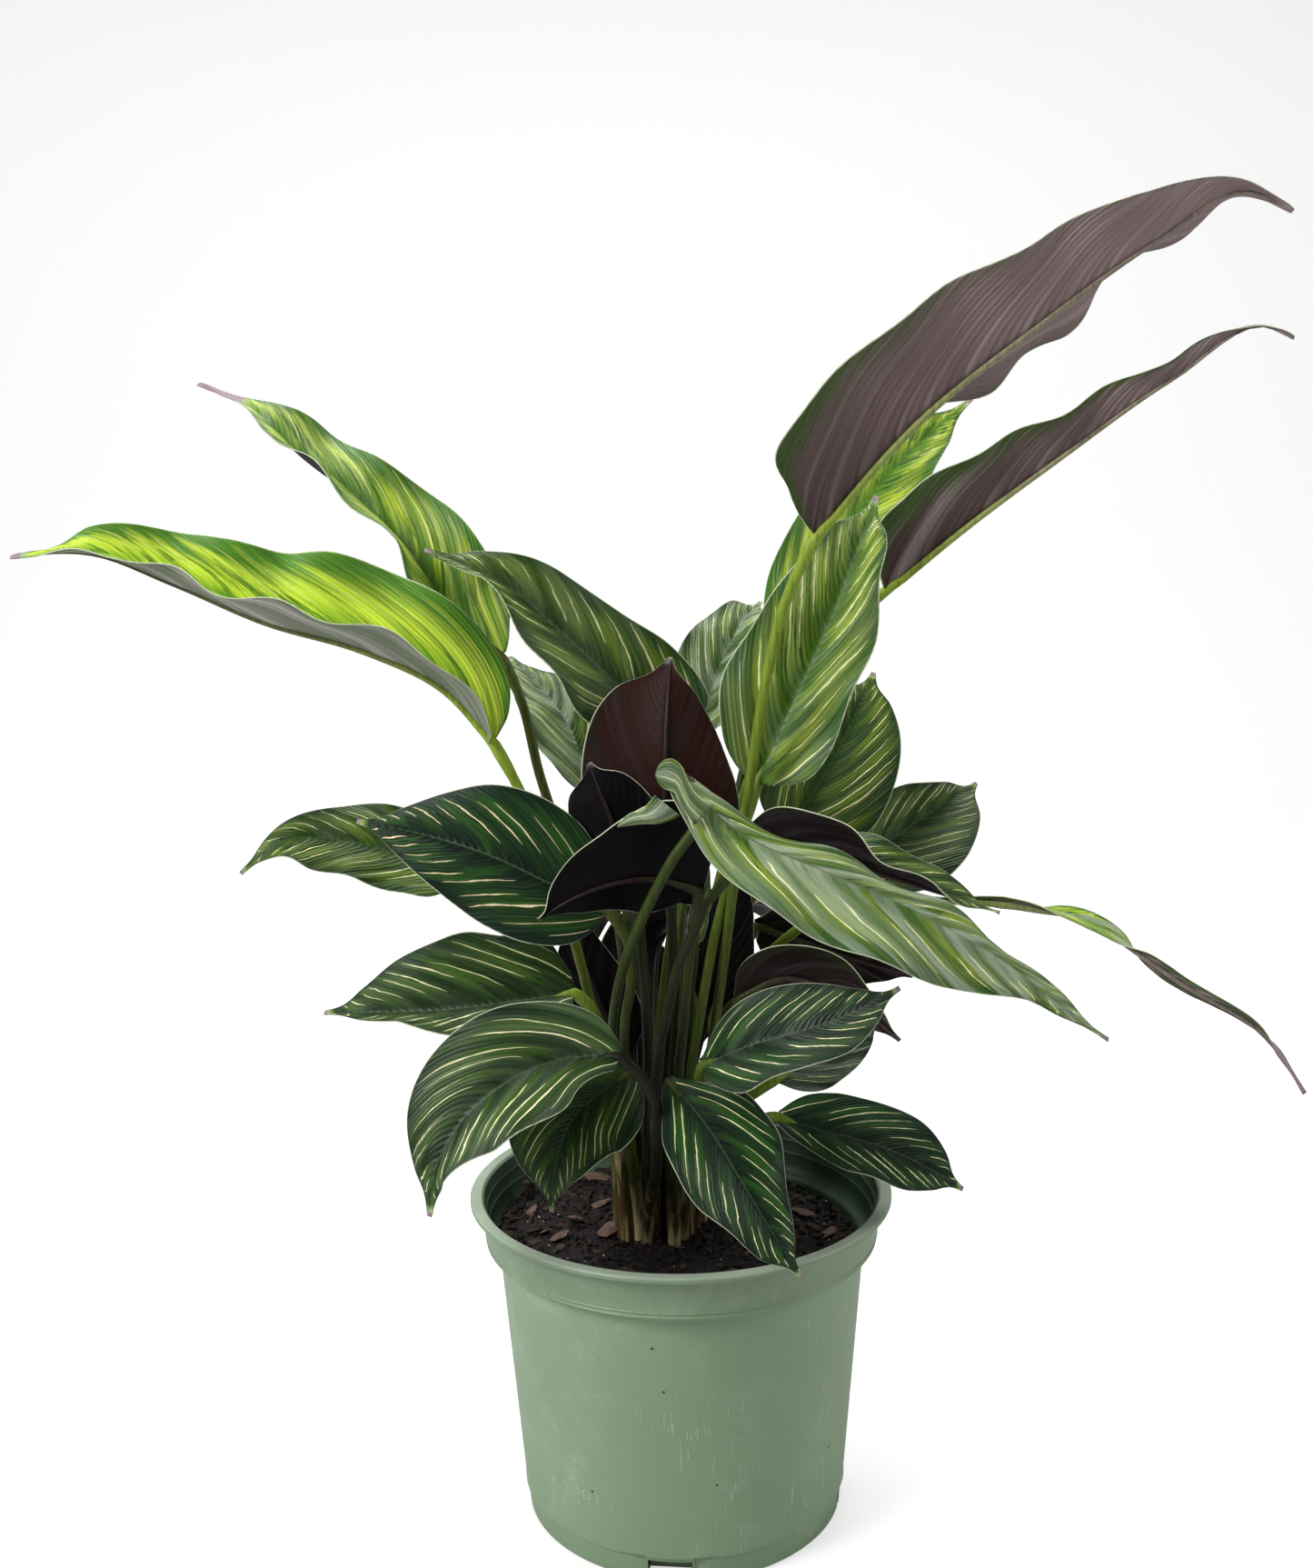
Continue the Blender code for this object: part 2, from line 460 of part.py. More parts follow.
def make_pot(collection, cutters):
    """The pot: a thin moulded shell with a narrow flat lip, a straight band and a low foot."""
    lip = POT_HEIGHT - LIP_HEIGHT
    inner_band = BAND_FOOT_RADIUS - WALL
    profile = [
        (BAND_TOP_RADIUS - WALL - ROUND / 2, POT_HEIGHT - ROUND),
        (BAND_TOP_RADIUS - WALL + ROUND / 2, POT_HEIGHT),
        (RIM_RADIUS - ROUND, POT_HEIGHT),
        (RIM_RADIUS, POT_HEIGHT - ROUND),
        (RIM_RADIUS, lip),
        (BAND_TOP_RADIUS, lip - ROUND),
        (BAND_FOOT_RADIUS, BAND_FOOT_HEIGHT),
        (BAND_FOOT_RADIUS - ROUND, BAND_FOOT_HEIGHT - ROUND),
        (BODY_TOP_RADIUS, BODY_TOP_HEIGHT),
        (BODY_FOOT_RADIUS, FOOT_HEIGHT),
        (FOOT_RADIUS, FOOT_HEIGHT - ROUND),
        (FOOT_RADIUS, FOOT_CHAMFER),
        (FOOT_RADIUS - FOOT_CHAMFER, 0),
        (0, 0),
    ]
    inside = [
        (0, FLOOR),
        (FOOT_RADIUS - WALL - FLOOR_FILLET, FLOOR),
        (FOOT_RADIUS - WALL, FLOOR + FLOOR_FILLET),
        (BODY_TOP_RADIUS - WALL, BODY_TOP_HEIGHT + WALL_STEP),
        (inner_band, BAND_FOOT_HEIGHT + WALL_STEP),
    ]
    pot = turned("pot", profile + inside + profile[:1], POT_STEPS, collection, material("pot", POT_GREEN, 0.4))
    bm = bmesh.new()
    for i in range(DRAIN_SLOTS):
        angle = math.radians(FIRST_DRAIN + 360 / DRAIN_SLOTS * i)
        made = bmesh.ops.create_cube(bm, size=1.0)["verts"]
        size = (DRAIN_DEPTH * 2 * MM, DRAIN_WIDTH * MM, DRAIN_HEIGHT * 2 * MM)
        bmesh.ops.scale(bm, vec=size, verts=made)
        bmesh.ops.translate(bm, vec=(FOOT_RADIUS * MM, 0, 0), verts=made)
        turn = [(math.cos(angle), -math.sin(angle), 0), (math.sin(angle), math.cos(angle), 0), (0, 0, 1)]
        for vertex in made:
            x, y, z = vertex.co
            vertex.co = [row[0] * x + row[1] * y + row[2] * z for row in turn]
    cut(pot, cutter_object("drain_slots", bm, cutters))
    return pot


def make_peat(collection, cutters):
    """The peat: it fills the pot up to a low heap, with a plain hole for each petiole."""
    gap = 1.5 * CLEARANCE
    edge = BAND_FOOT_RADIUS - WALL - gap
    body = BODY_TOP_RADIUS - WALL - gap
    heap = [(radius, peat_height(radius)) for radius in (0, 20, 38, 56, edge)]
    profile = heap + [
        (edge, BAND_FOOT_HEIGHT + WALL_STEP),
        (body, BODY_TOP_HEIGHT + WALL_STEP),
        (FOOT_RADIUS - WALL - gap, FLOOR + FLOOR_FILLET),
        (FOOT_RADIUS - WALL - FLOOR_FILLET - gap, FLOOR + CLEARANCE),
        (0, FLOOR + CLEARANCE),
    ]
    peat = turned("peat", profile, PEAT_STEPS, collection, material("peat", PEAT_BROWN, 0.95))
    bm = bmesh.new()
    hole = PETIOLE_RADIUS + HOLE_CLEARANCE
    for item in LEAVES:
        x, y = item["root"]
        depth = PETIOLE_DEPTH + CLEARANCE + CUTTER_ABOVE_PEAT
        middle = peat_height(math.hypot(x, y)) + CUTTER_ABOVE_PEAT - depth / 2
        made = bmesh.ops.create_cone(
            bm, cap_ends=True, segments=8, radius1=hole * MM, radius2=hole * MM, depth=depth * MM
        )["verts"]
        bmesh.ops.translate(bm, vec=(x * MM, y * MM, middle * MM), verts=made)
    cut(peat, cutter_object("petiole_holes", bm, cutters))
    return peat


for old in list(bpy.data.objects):
    bpy.data.objects.remove(old, do_unlink=True)
plant = bpy.data.collections.new("Pinstripe calathea")
helpers = bpy.data.collections.new("Cutters")
bpy.context.scene.collection.children.link(plant)
bpy.context.scene.collection.children.link(helpers)
make_pot(plant, helpers)
make_peat(plant, helpers)
routes = part_petioles([petiole_route(item) for item in LEAVES])
for measures, middle_line in zip(LEAVES, routes):
    make_leaf(measures, middle_line, plant)
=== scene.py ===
"""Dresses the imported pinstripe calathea: camera, studio, nursery pot, peat and every leaf."""

import math

import bmesh
import bpy
import numpy as np
from mathutils import Matrix, Vector, noise


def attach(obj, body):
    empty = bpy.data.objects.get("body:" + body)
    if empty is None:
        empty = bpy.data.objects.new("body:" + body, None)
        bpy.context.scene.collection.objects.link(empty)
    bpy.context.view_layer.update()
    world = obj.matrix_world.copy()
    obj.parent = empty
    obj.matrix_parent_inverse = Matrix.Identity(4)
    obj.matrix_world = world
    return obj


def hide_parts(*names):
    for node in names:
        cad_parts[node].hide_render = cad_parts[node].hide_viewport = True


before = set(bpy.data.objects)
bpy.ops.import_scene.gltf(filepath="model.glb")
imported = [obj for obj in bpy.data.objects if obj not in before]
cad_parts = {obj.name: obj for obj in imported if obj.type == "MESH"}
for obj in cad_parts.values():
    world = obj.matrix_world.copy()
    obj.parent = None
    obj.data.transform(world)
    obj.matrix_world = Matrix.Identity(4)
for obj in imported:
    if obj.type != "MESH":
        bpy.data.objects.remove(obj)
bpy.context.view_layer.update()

# The camera stands where the photographer stood: 61 cm in front of the pot's middle and 38.5 cm above
# the table, looking slightly down. The photo's long side, its height, fits the sensor.
PHOTO_HEIGHT = 1725
LENS_IN_PHOTO_PIXELS = 1800
SENSOR = 36.0
CAMERA_PITCH = math.radians(8.95)
CAMERA_ROLL = math.radians(-0.94)
camera_data = bpy.data.cameras.new("Camera")
camera_data.sensor_fit = "AUTO"
camera_data.sensor_width = SENSOR
camera_data.lens = LENS_IN_PHOTO_PIXELS / PHOTO_HEIGHT * SENSOR
camera_data.clip_start = 0.01
camera = bpy.data.objects.new("Camera", camera_data)
camera.location = (-0.0069, -0.613, 0.385)
look = Matrix.Rotation(math.pi / 2 - CAMERA_PITCH, 3, "X") @ Matrix.Rotation(CAMERA_ROLL, 3, "Z")
camera.rotation_euler = look.to_euler()
bpy.context.scene.collection.objects.link(camera)
bpy.context.scene.camera = camera
bpy.context.scene.view_settings.view_transform = "Standard"
bpy.context.scene.view_settings.look = "None"


# The studio: a white sweep of paper under and behind the plant, lit by large soft boxes from the
# upper left, the right and above, in a white room.
def linear(text):
    """The linear colour of an sRGB hex value."""
    values = [int(text[i : i + 2], 16) / 255 for i in (1, 3, 5)]
    return [v / 12.92 if v <= 0.04045 else ((v + 0.055) / 1.055) ** 2.4 for v in values] + [1.0]


def node(tree, kind, *inputs, **named):
    """Adds a shader node. Inputs come in the order of its sockets, or by name with _ for a space, and a
    name in small letters is a setting. An input takes a number, a hex colour, a socket, or a node's
    first output."""
    made = tree.nodes.new("ShaderNode" + kind)
    given = dict(enumerate(inputs))
    for name, value in named.items():
        if name.islower():
            setattr(made, name, value)
        else:
            given[name.replace("_", " ")] = value
    for key, value in given.items():
        if isinstance(value, bpy.types.Node):
            value = value.outputs[0]
        if isinstance(value, bpy.types.NodeSocket):
            tree.links.new(value, made.inputs[key])
        else:
            made.inputs[key].default_value = linear(value) if isinstance(value, str) else value
    return made


def new_material(name):
    """A material with an empty tree, and its tree."""
    made = bpy.data.materials.new(name)
    made.use_nodes = True
    made.node_tree.nodes.clear()
    return made, made.node_tree


def finished(name, bm, materials):
    """The finished object of a bmesh, smooth, at the origin."""
    mesh = bpy.data.meshes.new(name)
    bm.to_mesh(mesh)
    bm.free()
    for each in materials:
        mesh.materials.append(each)
    mesh.shade_smooth()
    made = bpy.data.objects.new(name, mesh)
    bpy.context.scene.collection.objects.link(made)
    return made


paper, tree = new_material("white studio paper")
# Overexposed in the picture, yet a plain pale floor to the light that falls on the plant
glow = node(tree, "Math", node(tree, "LightPath").outputs["Is Camera Ray"], 0.6, operation="MULTIPLY")
white = node(tree, "BsdfPrincipled", Base_Color="#C8C8C8", Roughness=0.9, Emission_Strength=glow)
node(tree, "OutputMaterial", white)
# In metres: the paper lies flat, turns up in a quarter circle and goes on as a wall
PAPER_LENGTH = 5.5
PAPER_HALF_WIDTH = 3.5
PAPER_FRONT = -1.6
PAPER_FLAT = 3.0
PAPER_TURN = 0.5
PAPER_GAP = 0.0003
bm = bmesh.new()
bmesh.ops.create_grid(bm, x_segments=1, y_segments=48, size=1.0)
for vertex in bm.verts:
    run = (vertex.co.y + 1) / 2 * PAPER_LENGTH
    turn = min(max(run - PAPER_FLAT, 0) / PAPER_TURN, math.pi / 2)
    wall = max(run - PAPER_FLAT - PAPER_TURN * math.pi / 2, 0)
    back = min(run, PAPER_FLAT) + PAPER_FRONT + PAPER_TURN * math.sin(turn)
    up = PAPER_TURN * (1 - math.cos(turn)) + wall - PAPER_GAP
    vertex.co = (PAPER_HALF_WIDTH * vertex.co.x, back, up)
finished("paper_sweep", bm, [paper])

PLANT_MIDDLE = Vector((0, 0, 0.22))
for name, place, size, watts in (
    ("upper left soft box", (-1.2, -0.8, 1.3), 0.8, 26),
    ("right soft box", (1.5, -0.1, 0.9), 0.8, 8),
    ("top soft box", (0.0, 0.6, 1.7), 1.0, 19),
):
    lamp = bpy.data.lights.new(name, "AREA")
    lamp.shape = "DISK"
    lamp.size = size
    lamp.energy = watts
    holder = bpy.data.objects.new(name, lamp)
    holder.location = place
    holder.rotation_euler = (PLANT_MIDDLE - Vector(place)).to_track_quat("-Z", "Y").to_euler()
    bpy.context.scene.collection.objects.link(holder)

room = bpy.data.worlds.new("white room")
room.use_nodes = True
background = room.node_tree.nodes["Background"]
background.inputs["Color"].default_value = linear("#FFFFFF")
background.inputs["Strength"].default_value = 0.2
bpy.context.scene.world = room


# The nursery pot: 165 mm across the lip, injection-moulded in sage green polypropylene with a thin
# flat lip, a straight band, a low foot and four drain slots. The peat stands in it.
MM = 0.001
POT_SIDES = 180
# Radius and height along the wall, from the lip down, under the foot, and up the inside
POT_OUTSIDE = [
    (81.9, 128.5), (82.5, 127.9), (82.5, 126.7), (82.0, 126.3), (79.7, 126.0), (79.2, 125.2),
    (77.5, 117.0), (76.8, 113.0), (77.1, 112.7), (76.6, 112.4), (76.5, 111.3), (76.75, 111.0), (76.3, 110.4),
    (74.8, 109.3), (72.4, 108.6), (71.75, 107.6),
    (63.95, 12.0), (64.1, 10.2), (63.4, 9.8), (63.2, 8.8), (62.5, 0.8), (61.7, 0.0),
]
POT_UNDERSIDE = [(52.0, 0.0), (50.0, 0.9), (0.0, 0.9)]
POT_INSIDE = [
    (0.0, 2.5), (58.2, 2.5), (60.9, 4.8), (69.9, 107.8), (70.5, 108.9), (73.2, 109.7), (74.4, 111.0),
    (75.0, 113.0), (75.6, 117.0), (75.2, 117.5), (75.7, 118.0), (76.5, 122.2), (76.1, 122.7), (76.6, 123.2),
    (77.3, 127.4), (78.2, 128.4),
]
POT_WALL = POT_OUTSIDE + POT_UNDERSIDE + POT_INSIDE
bm = bmesh.new()
ring = [bm.verts.new((radius * MM, 0, height * MM)) for radius, height in POT_WALL]
on_axis = ring[len(POT_OUTSIDE + POT_UNDERSIDE) - 1]
for start, end in zip(ring, ring[1:] + ring[:1]):
    if start is not on_axis:
        bm.edges.new((start, end))
bmesh.ops.spin(
    bm, geom=bm.verts[:] + bm.edges[:], cent=(0, 0, 0), axis=(0, 0, 1), angle=2 * math.pi,
    steps=POT_SIDES, use_merge=True,
)
bmesh.ops.remove_doubles(bm, verts=bm.verts, dist=0.01 * MM)
bmesh.ops.recalc_face_normals(bm, faces=bm.faces)
pot = finished("nursery_pot", bm, [])

DRAIN_SLOTS = 4
FIRST_SLOT_ANGLE = -96
FOOT_WALL_RADIUS = 62.6
# Width, depth, height and place along the wall: the slot, and a shallow recess on each side of it
SLOT_CUTS = ((16.7, 9, 8.5, 0), (9.2, 1.2, 10.6, -13.4), (9.2, 1.2, 10.6, 13.4))
bm = bmesh.new()
for i in range(DRAIN_SLOTS):
    turn = Matrix.Rotation(math.radians(FIRST_SLOT_ANGLE + 360 / DRAIN_SLOTS * i), 3, "Z")
    for width, depth, height, shift in SLOT_CUTS:
        made = bmesh.ops.create_cube(bm, size=1.0)["verts"]
        bmesh.ops.scale(bm, vec=(2 * depth * MM, width * MM, 2 * height * MM), verts=made)
        bmesh.ops.translate(bm, vec=(FOOT_WALL_RADIUS * MM, shift * MM, 0), verts=made)
        bmesh.ops.rotate(bm, cent=(0, 0, 0), matrix=turn, verts=made)
slots = finished("drain_slot_cutters", bm, [])
cut = pot.modifiers.new("Drain slots", "BOOLEAN")
cut.operation = "DIFFERENCE"
cut.solver = "EXACT"
cut.object = slots
graph = bpy.context.evaluated_depsgraph_get()
cut_mesh = bpy.data.meshes.new_from_object(pot.evaluated_get(graph))
pot.modifiers.remove(cut)
pot.data = cut_mesh
cut_mesh.name = "nursery_pot"
bpy.data.objects.remove(slots)
soften = pot.modifiers.new("Moulded corners", "BEVEL")
soften.width = 0.3 * MM
soften.segments = 2
soften.limit_method = "ANGLE"
soften.angle_limit = math.radians(28)


def per_metre(*sizes):
    """How often a pattern comes in a metre, for its size in millimetres, or its size along each axis."""
    often = [1 / (size * MM) for size in sizes]
    return often if len(often) > 1 else often[0]


# Moulded polypropylene: satin, slightly mottled sage green that dust and handling have dulled, with
# pale scuffs a few millimetres long, fine scratches, a pale lip edge that is partly whitened wear and
# partly a painted highlight, and painted shade on the band under the lip. The 1 mm grain of the
# mould is drawn coarser than it is, to show.
plastic, tree = new_material("moulded sage polypropylene")
place = node(tree, "TexCoord").outputs["Object"]
mottle = node(tree, "TexNoise", place, Scale=per_metre(55.6), Detail=5.0, Roughness=0.6)
body = node(tree, "MixRGB", mottle, "#809A78", "#93AD8A")
dusty_at = node(
    tree, "TexNoise", place, Scale=per_metre(29.4), Detail=9.0, Roughness=0.75, Distortion=0.7
)
dusty = node(tree, "MapRange", dusty_at, From_Min=0.54, From_Max=0.72, To_Max=0.5)
dulled = node(tree, "MixRGB", dusty, body.outputs[0], "#ABBDA4")
up = node(tree, "SeparateXYZ", place).outputs["Z"]
lean = node(tree, "Mapping", place, Scale=per_metre(0.833, 0.833, 91), Rotation=(0.03, 0.06, 0.0))
scratch_at = node(tree, "TexNoise", lean, Scale=1.0, Detail=1.0)
rare_at = node(tree, "TexNoise", place, Scale=per_metre(41.7), Detail=2.0)
scratch = node(tree, "MapRange", scratch_at, From_Min=0.66, From_Max=0.72, To_Max=0.6)
rare = node(tree, "MapRange", rare_at, From_Min=0.52, From_Max=0.6)
scuffed = node(tree, "Math", scratch, rare, operation="MULTIPLY")
chip_at = node(tree, "TexVoronoi", place, Scale=per_metre(2.38))
chip_size = node(tree, "TexNoise", place, Scale=per_metre(33.3), Detail=3.0)
chip_limit = node(tree, "MapRange", chip_size, From_Min=0.58, From_Max=0.76, To_Max=0.24)
chip = node(tree, "Math", chip_at.outputs["Distance"], chip_limit, operation="LESS_THAN")
marks = node(tree, "Math", scuffed, chip, operation="MAXIMUM")
marked = node(tree, "MixRGB", marks, dulled, "#C6D2BF")
speck_at = node(tree, "TexVoronoi", place, Scale=per_metre(13.33))
speck = node(tree, "Math", speck_at.outputs["Distance"], 0.045, operation="LESS_THAN")
specked = node(tree, "MixRGB", speck, marked, "#39452F")
# A pale line along the top edge of the lip: partly whitened wear, partly a painted highlight where the lip
# catches the light
lip_wear_and_highlight_at = node(tree, "MapRange", up, From_Min=127.6 * MM, From_Max=128.4 * MM, To_Max=0.9)
lip_wear_and_highlight_here = node(tree, "Math", lip_wear_and_highlight_at, mottle, operation="MULTIPLY")
lip_worn_and_highlighted = node(tree, "MixRGB", lip_wear_and_highlight_here, specked, "#D2DCCB")
# The band above the step is darkened with painted shade, the shadow of the lip that overhangs it
band_painted_shade = node(
    tree, "MapRange", up, From_Min=108.5 * MM, From_Max=112.5 * MM, To_Min=1.0, To_Max=0.84
)
shaded = node(tree, "VectorMath", lip_worn_and_highlighted, Scale=band_painted_shade, operation="SCALE")
rough = node(tree, "MapRange", mottle, To_Min=0.36, To_Max=0.5)
grain = node(tree, "TexNoise", place, Scale=per_metre(1.11), Detail=3.0)
relief = node(tree, "Bump", Height=grain, Strength=0.12, Distance=0.3 * MM)
shader = node(tree, "BsdfPrincipled", Base_Color=shaded, Roughness=rough, Normal=relief, IOR=1.49)
node(tree, "OutputMaterial", shader)

# The inside is the same moulded plastic, darkened all over with painted shade, and a film of damp soil and
# algae makes it darker still and uneven.
shaded_damp_plastic, tree = new_material("soiled sage polypropylene")
place = node(tree, "TexCoord").outputs["Object"]
film = node(tree, "TexNoise", place, Scale=per_metre(16.67), Detail=6.0, Roughness=0.6)
soiled_and_shaded = node(tree, "MixRGB", film, "#22372A", "#4E6A4F")
shader = node(tree, "BsdfPrincipled", Base_Color=soiled_and_shaded, Roughness=0.45, IOR=1.49)
node(tree, "OutputMaterial", shader)
cut_mesh.materials.clear()
cut_mesh.materials.append(plastic)
cut_mesh.materials.append(shaded_damp_plastic)
INSIDE_FLOOR = 5.0
INSIDE_TOP = 126.5
INSIDE_RADIUS = 77.2
# Faces that look inwards below the lip take the inside material, with its painted shade
for polygon in cut_mesh.polygons:
    x, y, z = polygon.center
    faces_in = x * polygon.normal.x + y * polygon.normal.y < 0
    within = INSIDE_FLOOR * MM < z < INSIDE_TOP * MM and math.hypot(x, y) < INSIDE_RADIUS * MM
    polygon.material_index = int(faces_in and within)
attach(pot, "root")
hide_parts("pot")


# The peat: a damp near-black potting mix with bark, heaped a little round the stalks and settled lower
# against the wall at the back and right. Chips, crumbs and perlite lie loose on it.
PEAT_EDGE_HEIGHT = 112.0
PEAT_HEAP = 7.0
BAND_FOOT_RADIUS = 76.4
PEAT_RADIUS = 74.0
PEAT_SETTLED = 6.5
PEAT_SUNK = 1.0
# Lumps and crumbs: their height in millimetres, their seed, and how many come in a millimetre
PEAT_LUMPS = ((1.5, 3, 0.06), (1.1, 9, 0.19), (0.9, 5, 0.4), (0.6, 1, 0.9))


def peat_height(radius):
    """How high the solid peat's top is at a distance from the pot's axis, in millimetres."""
    return PEAT_EDGE_HEIGHT + PEAT_HEAP * (1 - (radius / BAND_FOOT_RADIUS) ** 1.5)


def peat_top(x, y):
    """The rough top of the peat at a place, in millimetres."""
    radius = math.hypot(x, y)
    # It settled most at the back and right, and not at all at the front left
    back_right = max(0, 0.35 + 0.65 * (x + 0.6 * y) / PEAT_RADIUS)
    settled = PEAT_SETTLED * min(1, radius / PEAT_RADIUS) ** 3 * back_right
    rough = sum(height * noise.noise(Vector((x, y, seed)) * often) for height, seed, often in PEAT_LUMPS)
    return peat_height(radius) - settled - PEAT_SUNK + rough


def wall_radius(height):
    """The pot's inner radius at a height, in millimetres."""
    wall = POT_INSIDE[2:]
    return float(np.interp(height, [point[1] for point in wall], [point[0] for point in wall]))


PEAT_RINGS = 72
PEAT_SPOKES = 220
WALL_GAP = 0.05
bm = bmesh.new()
bmesh.ops.create_grid(bm, x_segments=PEAT_RINGS, y_segments=PEAT_SPOKES, size=1.0)
for vertex in bm.verts:
    radius = PEAT_RADIUS * (vertex.co.x + 1) / 2
    angle = math.pi * vertex.co.y
    x, y = radius * math.cos(angle), radius * math.sin(angle)
    top = peat_top(x, y)
    radius = min(radius, wall_radius(top) - WALL_GAP)
    vertex.co = Vector((radius * math.cos(angle), radius * math.sin(angle), top)) * MM
bmesh.ops.remove_doubles(bm, verts=bm.verts, dist=0.005 * MM)
# Its skirt goes down inside the pot in steps of these millimetres, so that it follows the wall
SKIRT_STEPS = (1, 1, 1, 1, 1, 1, 1, 5)
SKIRT_GAP = 0.4
for drop in SKIRT_STEPS:
    rim = [edge for edge in bm.edges if edge.is_boundary]
    for part in bmesh.ops.extrude_edge_only(bm, edges=rim)["geom"]:
        if isinstance(part, bmesh.types.BMVert):
            radius = (wall_radius(part.co.z / MM - drop) - SKIRT_GAP) * MM
            inwards = radius / math.hypot(part.co.x, part.co.y)
            part.co = (part.co.x * inwards, part.co.y * inwards, part.co.z - drop * MM)
bmesh.ops.contextual_create(bm, geom=[edge for edge in bm.edges if edge.is_boundary])
bmesh.ops.recalc_face_normals(bm, faces=bm.faces)

# Damp peat: near-black fibres and soil. The colour shifts over grains of 1 to 3 mm, some of them pale
# brown, and the damp makes small glints.
soil, tree = new_material("damp peat")
place = node(tree, "TexCoord").outputs["Object"]
grains = node(tree, "TexVoronoi", place, Scale=per_metre(1.613))
clumps = node(tree, "TexNoise", place, Scale=per_metre(6.25), Detail=8.0, Roughness=0.7)
dark = node(tree, "MixRGB", clumps, "#040303", "#1D1612")
grain_tone = node(tree, "SeparateColor", grains.outputs["Color"])
grain_fac = node(tree, "MapRange", grain_tone.outputs[0], From_Min=0.72, From_Max=1.0, To_Max=0.5)
speckled = node(tree, "MixRGB", grain_fac, dark, "#45352A")
heap = node(tree, "Math", grains.outputs["Distance"], clumps, operation="ADD")
relief = node(tree, "Bump", Height=heap, Strength=0.9, Distance=1.2 * MM)
damp = node(tree, "MapRange", clumps, To_Min=0.45, To_Max=0.95)
shader = node(
    tree, "BsdfPrincipled", Base_Color=speckled, Roughness=damp, Normal=relief, Specular_IOR_Level=0.35
)
node(tree, "OutputMaterial", shader)
peat = finished("peat_surface", bm, [soil])
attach(peat, "root")
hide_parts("peat")


# The leaves: 34 living blades, each on its own juicy stalk, that grew from one clump of roots. The
# table repeats the measures of the part's source, in millimetres, and the blades are drawn finer.
PETIOLE_RADIUS = 1.9
PETIOLE_DEPTH = 15.0
STRAIGHT_ABOVE_PEAT = 2.0
PETIOLE_GAP = 0.7
STATIONS = (0.1, 0.25, 0.4, 0.55, 0.7, 0.85)
GREEN, YOUNG_GREEN, PURPLE = "leaf", "young_leaf", "leaf_underside"


def leaf(name, root, petiole, midrib, face, left, right, waves=(3, 1.5), colour=GREEN):
    """One leaf's measures: its foot, its stalk, its midrib, which way it faces, and its two halves."""
    return dict(
        name=name, root=root, petiole=petiole, midrib=midrib, face=face, left=left, right=right,
        waves=waves, slot=colour,
    )


